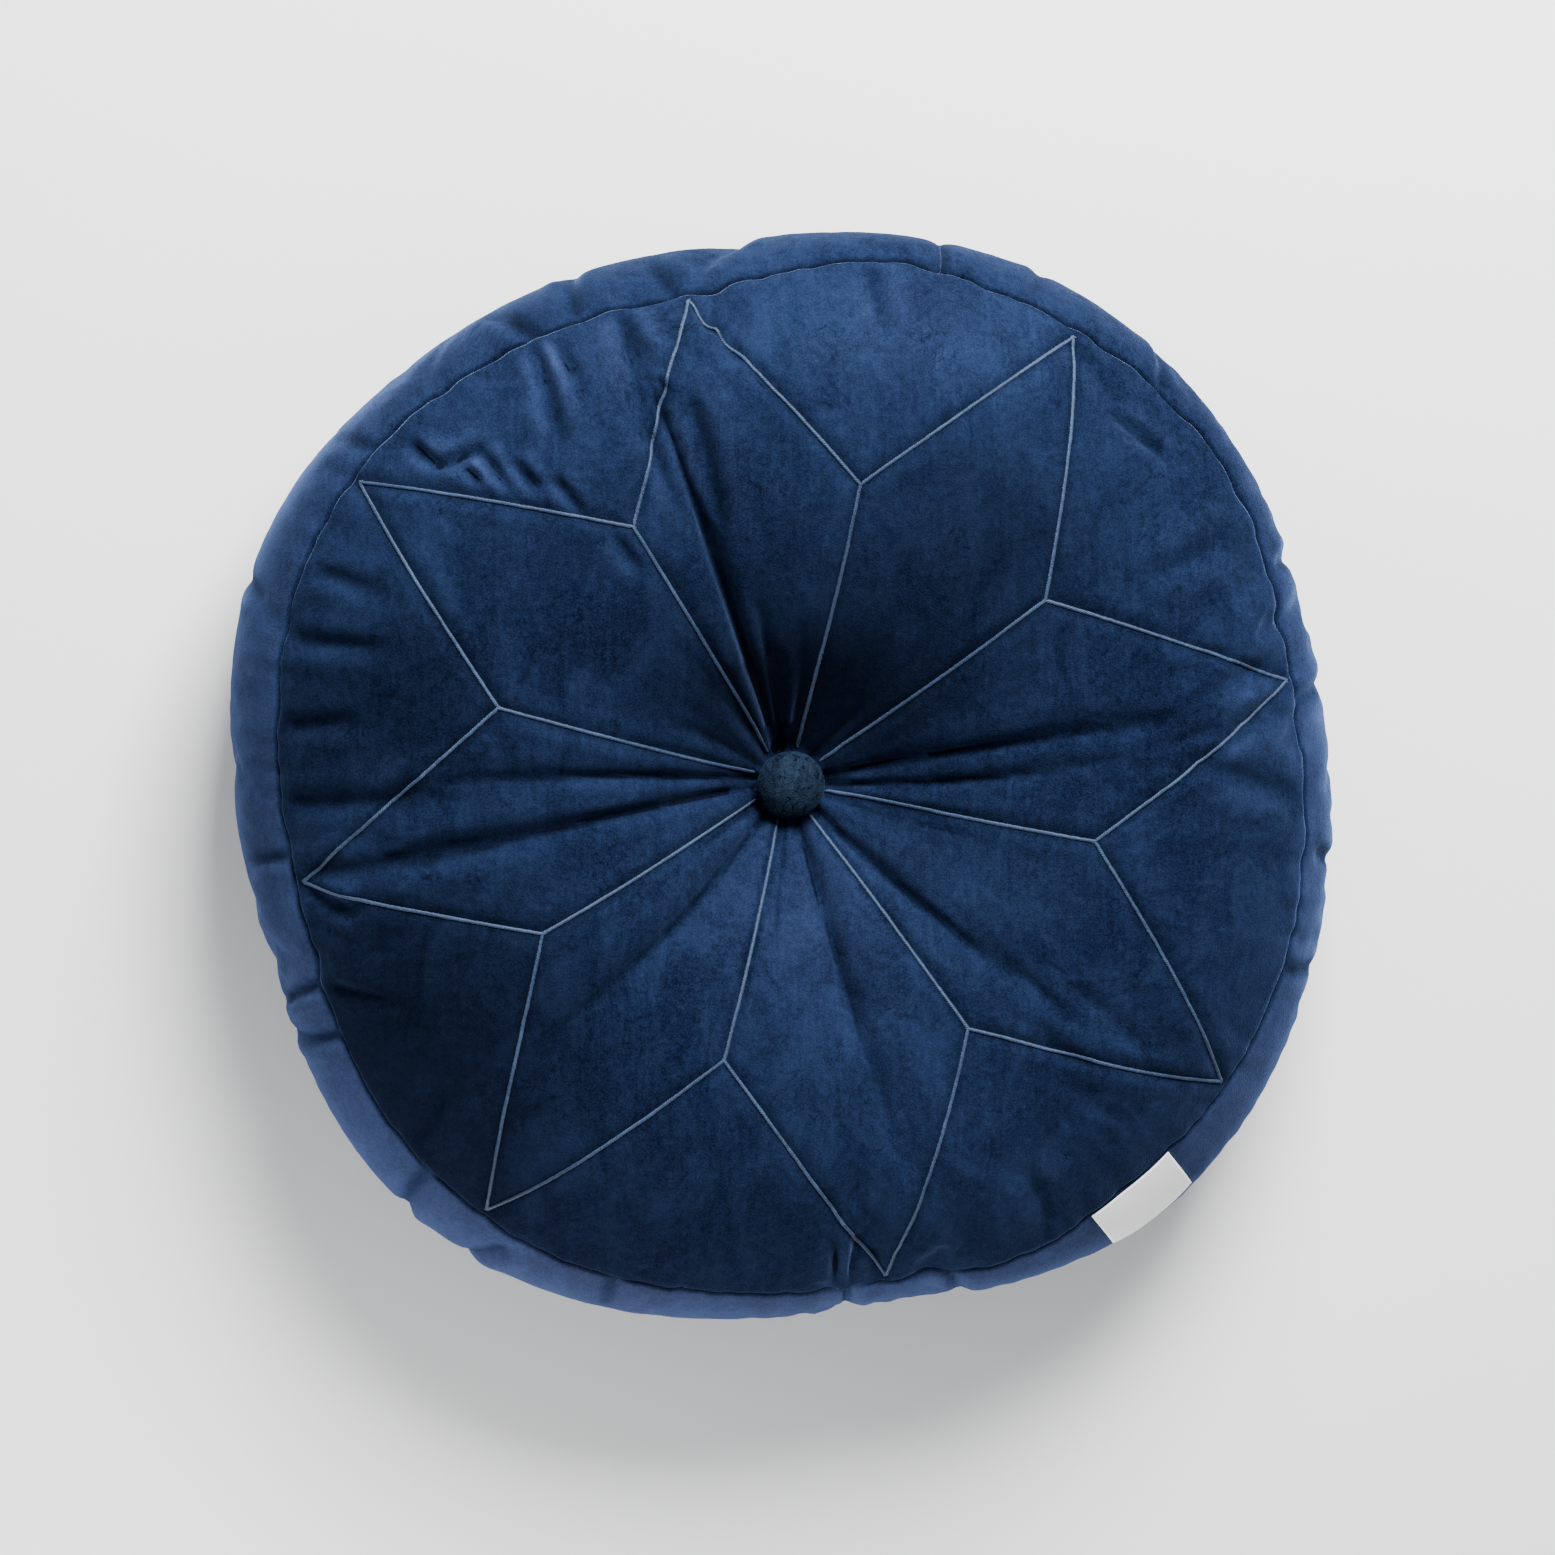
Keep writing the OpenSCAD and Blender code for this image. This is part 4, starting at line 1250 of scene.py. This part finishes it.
def labelPiece():              # a blank woven tab sewn in the top seam, lying over the side band
    across, down = 36, 26
    wide, long = 1.0, 1.0
    for _ in range(3):             # laid again until it measures what was cut
        front = laidRibbon(across, down, wide, long)
        wide *= label["width"] / np.linalg.norm(np.diff(front, axis=1), axis=2).sum(axis=1).mean()
        long *= label["drop"] / np.linalg.norm(np.diff(front, axis=0), axis=2).sum(axis=0).mean()
    normal = np.cross(np.gradient(front, axis=1), np.gradient(front, axis=0))
    normal /= np.linalg.norm(normal, axis=2, keepdims=True)
    normal *= np.sign(np.sum(normal * front * (1, 1, 0)))
    back = front - normal * label["thick"]
    points = np.concatenate([front.reshape(-1, 3), back.reshape(-1, 3)])
    w, half = across + 1, (down + 1) * (across + 1)
    faces = [(j * w + i, j * w + i + 1, (j + 1) * w + i + 1, (j + 1) * w + i)[::-1]
             for j in range(down) for i in range(across)]
    faces += [tuple(half + v for v in f[::-1]) for f in list(faces)]
    rimLoop = ([i for i in range(w)] + [j * w + across for j in range(1, down + 1)]
               + [down * w + i for i in range(across - 1, -1, -1)] + [j * w for j in range(down - 1, 0, -1)])
    onward = rimLoop[1:] + rimLoop[:1]
    faces += [(a, b, half + b, half + a) for a, b in zip(rimLoop, onward)]
    piece = addPiece("sideLabel", points, faces, "label", labelWeave, ["side_label"])
    uv = piece.data.uv_layers.new(name="UVMap")
    for loop in piece.data.loops:
        v = loop.vertex_index % half
        uv.data[loop.index].uv = ((v % w) / across, (v // w) / down * label["drop"] / label["width"])
    return piece


sideLabel = labelPiece()

fillLook = {
    "clear": 0.0034,           # under the cover
    "seamClear": 0.0075,       # and at a seam, where the cloth is turned in
    "tuft": 0.0008, "window": 0.0045, "from": 0.012, "columns": 144,
}


def lowest(values, reach):     # the lowest of the neighbours on a ring
    wide = np.concatenate([values[-reach:], values, values[:reach]])
    return np.lib.stride_tricks.sliding_window_view(wide, 2 * reach + 1).min(axis=1)


def fillPiece():               # loose fibre under the cover, drawn open where the twine passes
    waves = np.fft.rfft(cover, axis=1)
    waves[:, 36:] = 0
    smooth = np.fft.irfft(waves, finest, axis=1)
    for _ in range(6):
        smooth[1:-1] = 0.5 * smooth[1:-1] + 0.25 * (smooth[:-2] + smooth[2:])
    normal = normalsOf(smooth)
    gap = np.sum((cover - smooth) * normal, axis=2)
    for k in range(len(gap)):
        around = 2 * math.pi * max(np.hypot(*cover[k, 0, :2]), 0.004) / finest
        gap[k] = lowest(gap[k], int(min(90, max(2, fillLook["window"] / around))))
    gap = np.min([np.roll(gap, shift, axis=0) for shift in (-2, -1, 0, 1, 2)], axis=0)
    step = finest // fillLook["columns"]
    grid = []
    for k, u in enumerate(allUs):
        if k % 2 or not fillLook["from"] < u < whole - fillLook["from"]:
            continue
        seam = min(abs(u - rim), abs(u - rim - high))
        deep = fillLook["clear"] + fillLook["seamClear"] * math.exp(-(seam / 0.006) ** 2)
        ring = (smooth[k] + (gap[k] - deep)[:, None] * normal[k])[::step]
        for j in range(len(ring)):
            tuft = noise.noise(Vector(ring[j]) * 90) + 0.5 * noise.noise(Vector(ring[j]) * 260)
            ring[j] -= normal[k, j * step] * fillLook["tuft"] * (tuft + 1.2)
        ring[:, 2] = np.maximum(ring[:, 2], 0.0020)
        grid.append(ring)
    first, last = grid[0], grid[-1]
    for t in np.linspace(0, 1, 14)[1:-1]:
        ring = last * (1 - t) + first * t
        ring[:, :2] *= 1 - 0.25 * math.sin(math.pi * t)
        grid.append(ring)
    grid = np.array(grid)
    n, m = grid.shape[:2]
    faces = [(i * m + j, i * m + (j + 1) % m, ((i + 1) % n) * m + (j + 1) % m, ((i + 1) % n) * m + j)[::-1]
             for i in range(n) for j in range(m)]
    return addPiece("fibreFill", grid.reshape(-1, 3), faces, None, fillMaterial,
                    ["fibre_fill"])


twine = {"width": 0.0050, "diameter": 0.0016, "strands": 3, "turns": 9, "knot": 0.0019}


def twinePiece():              # a laid ring of twine through the two loops, with its knot
    low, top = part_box("tufting_twine")[0][2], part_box("tufting_twine")[1][2]
    half, thick = twine["width"] / 2, twine["diameter"]
    bottomMid, topMid = low + thick / 2 + half, top - thick / 2 - half
    path = [np.array([0, half, z]) for z in np.linspace(bottomMid, topMid, 40)]
    path += [np.array([0, half * math.cos(a), topMid + half * math.sin(a)])
             for a in np.linspace(0, math.pi, 18)[1:]]
    path += [np.array([0, -half, z]) for z in np.linspace(topMid, bottomMid, 40)[1:]]
    path += [np.array([0, -half * math.cos(a), bottomMid - half * math.sin(a)])
             for a in np.linspace(0, math.pi, 18)[1:-1]]
    path = np.array(path)
    points, faces = [], []
    sides, n = 12, len(path)
    for k in range(n):
        ahead = path[(k + 1) % n] - path[k - 1]
        ahead /= np.linalg.norm(ahead)
        sideways = np.array([1.0, 0, 0])
        other = np.cross(ahead, sideways)
        for q in range(sides):
            a = 2 * math.pi * q / sides
            twist = a + twine["turns"] * 2 * math.pi * k / n
            ridge = 1 - 0.16 * (1 - abs(math.cos(twine["strands"] / 2 * twist)))
            points.append(path[k] + thick / 2 * ridge * (math.cos(a) * sideways + math.sin(a) * other))
            faces.append((k * sides + q, k * sides + (q + 1) % sides, ((k + 1) % n) * sides + (q + 1) % sides,
                          ((k + 1) % n) * sides + q)[::-1])
    middle = np.array([0, half, (low + top) / 2])
    first = len(points)
    rings, around = 14, 20
    sequence = []
    for j in range(rings + 1):
        tilt = math.pi * j / rings
        ring = []
        for i in range(1 if j in (0, rings) else around):
            a = 2 * math.pi * i / around
            bump = 1 + 0.10 * math.sin(3 * a + 5 * tilt)
            out = np.array([math.sin(tilt) * math.cos(a), math.sin(tilt) * math.sin(a), math.cos(tilt)])
            ring.append(middle + twine["knot"] * bump * out)
        sequence.append(ring)
    faces += [tuple(first + v for v in f) for f in stitchRows(numberRows([len(r) for r in sequence]))]
    points += [p for ring in sequence for p in ring]
    return addPiece("tuftingTwine", points, faces, "base", twineMaterial, ["tufting_twine"]), low


fill = fillPiece()
twineRing, twineFoot = twinePiece()

# the soft pieces give when the seat goes down
for piece in (bandLeft, bandRight, joinThreads, fill):
    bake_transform(piece, "base", "seat_top", start=(0, 0, bottomSeam + 0.001), end=(0, 0, buttonBase - 0.005))
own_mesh(sideLabel)
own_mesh(twineRing)

print("stage")
room = {"floor": (0.92, 0.92, 0.92), "world": 0.40, "key": 205.0, "keySize": 1.1, "bounce": 12.0}
floorMesh = bpy.data.meshes.new("floor")
floorMesh.from_pydata([(-4, -4, 0), (4, -4, 0), (4, 4, 0), (-4, 4, 0)], [], [(0, 1, 2, 3)])
floor = bpy.data.objects.new("floor", floorMesh)
bpy.context.scene.collection.objects.link(floor)
floor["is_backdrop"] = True
floorMaterial, floorTree, floorShader = newMaterial("paleFloor")
grain = noiseOf(floorTree, floorTree.nodes.new("ShaderNodeTexCoord").outputs["Object"], 14.0, 4.0, 0.6)
worn = tuple(c * 0.985 for c in room["floor"])
floorTree.links.new(mixColour(floorTree, grain, worn, room["floor"]), floorShader.inputs["Base Color"])
floorShader.inputs["Roughness"].default_value = 0.8
floorMesh.materials.append(floorMaterial)

world = bpy.data.worlds.new("room")
bpy.context.scene.world = world
world.use_nodes = True
world.node_tree.nodes["Background"].inputs["Color"].default_value = (0.96, 0.98, 1.0, 1)
world.node_tree.nodes["Background"].inputs["Strength"].default_value = room["world"]


def softbox(name, place, size, power):
    data = bpy.data.lights.new(name, "AREA")
    data.shape, data.size, data.energy = "SQUARE", size, power
    lamp = bpy.data.objects.new(name, data)
    lamp.location = place
    lamp.rotation_euler = (Vector((0, 0, 0.05)) - Vector(place)).to_track_quat("-Z", "Y").to_euler()
    bpy.context.scene.collection.objects.link(lamp)


softbox("keyLight", (0.40, 1.65, 1.32), room["keySize"], room["key"])
softbox("bounceCard", (-0.34, -0.78, 0.06), 0.7, room["bounce"])

view = {"left": 7.5, "up": 6.0, "distance": 3.2, "across": 0.7105}
cameraData = bpy.data.cameras.new("camera")
camera = bpy.data.objects.new("camera", cameraData)
bpy.context.scene.collection.objects.link(camera)
bpy.context.scene.camera = camera
aim = Vector((-0.0025, 0.0005, (topSeam + bottomSeam) / 2))
back = Vector((-math.tan(math.radians(view["left"])), math.tan(math.radians(view["up"])), 1)).normalized()
right = Vector((0, 1, 0)).cross(back).normalized()
camera.location = aim + view["distance"] * back
camera.rotation_euler = Matrix((right, back.cross(right), back)).transposed().to_euler()
cameraData.sensor_width = 36
cameraData.lens = 36 * view["distance"] / view["across"]

low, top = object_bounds()
for what, box in (("visual", (low, top)), ("cad", cadBox)):
    print("size: %s %s" % (what, [round(b - a, 4) for a, b in zip(*box)]))
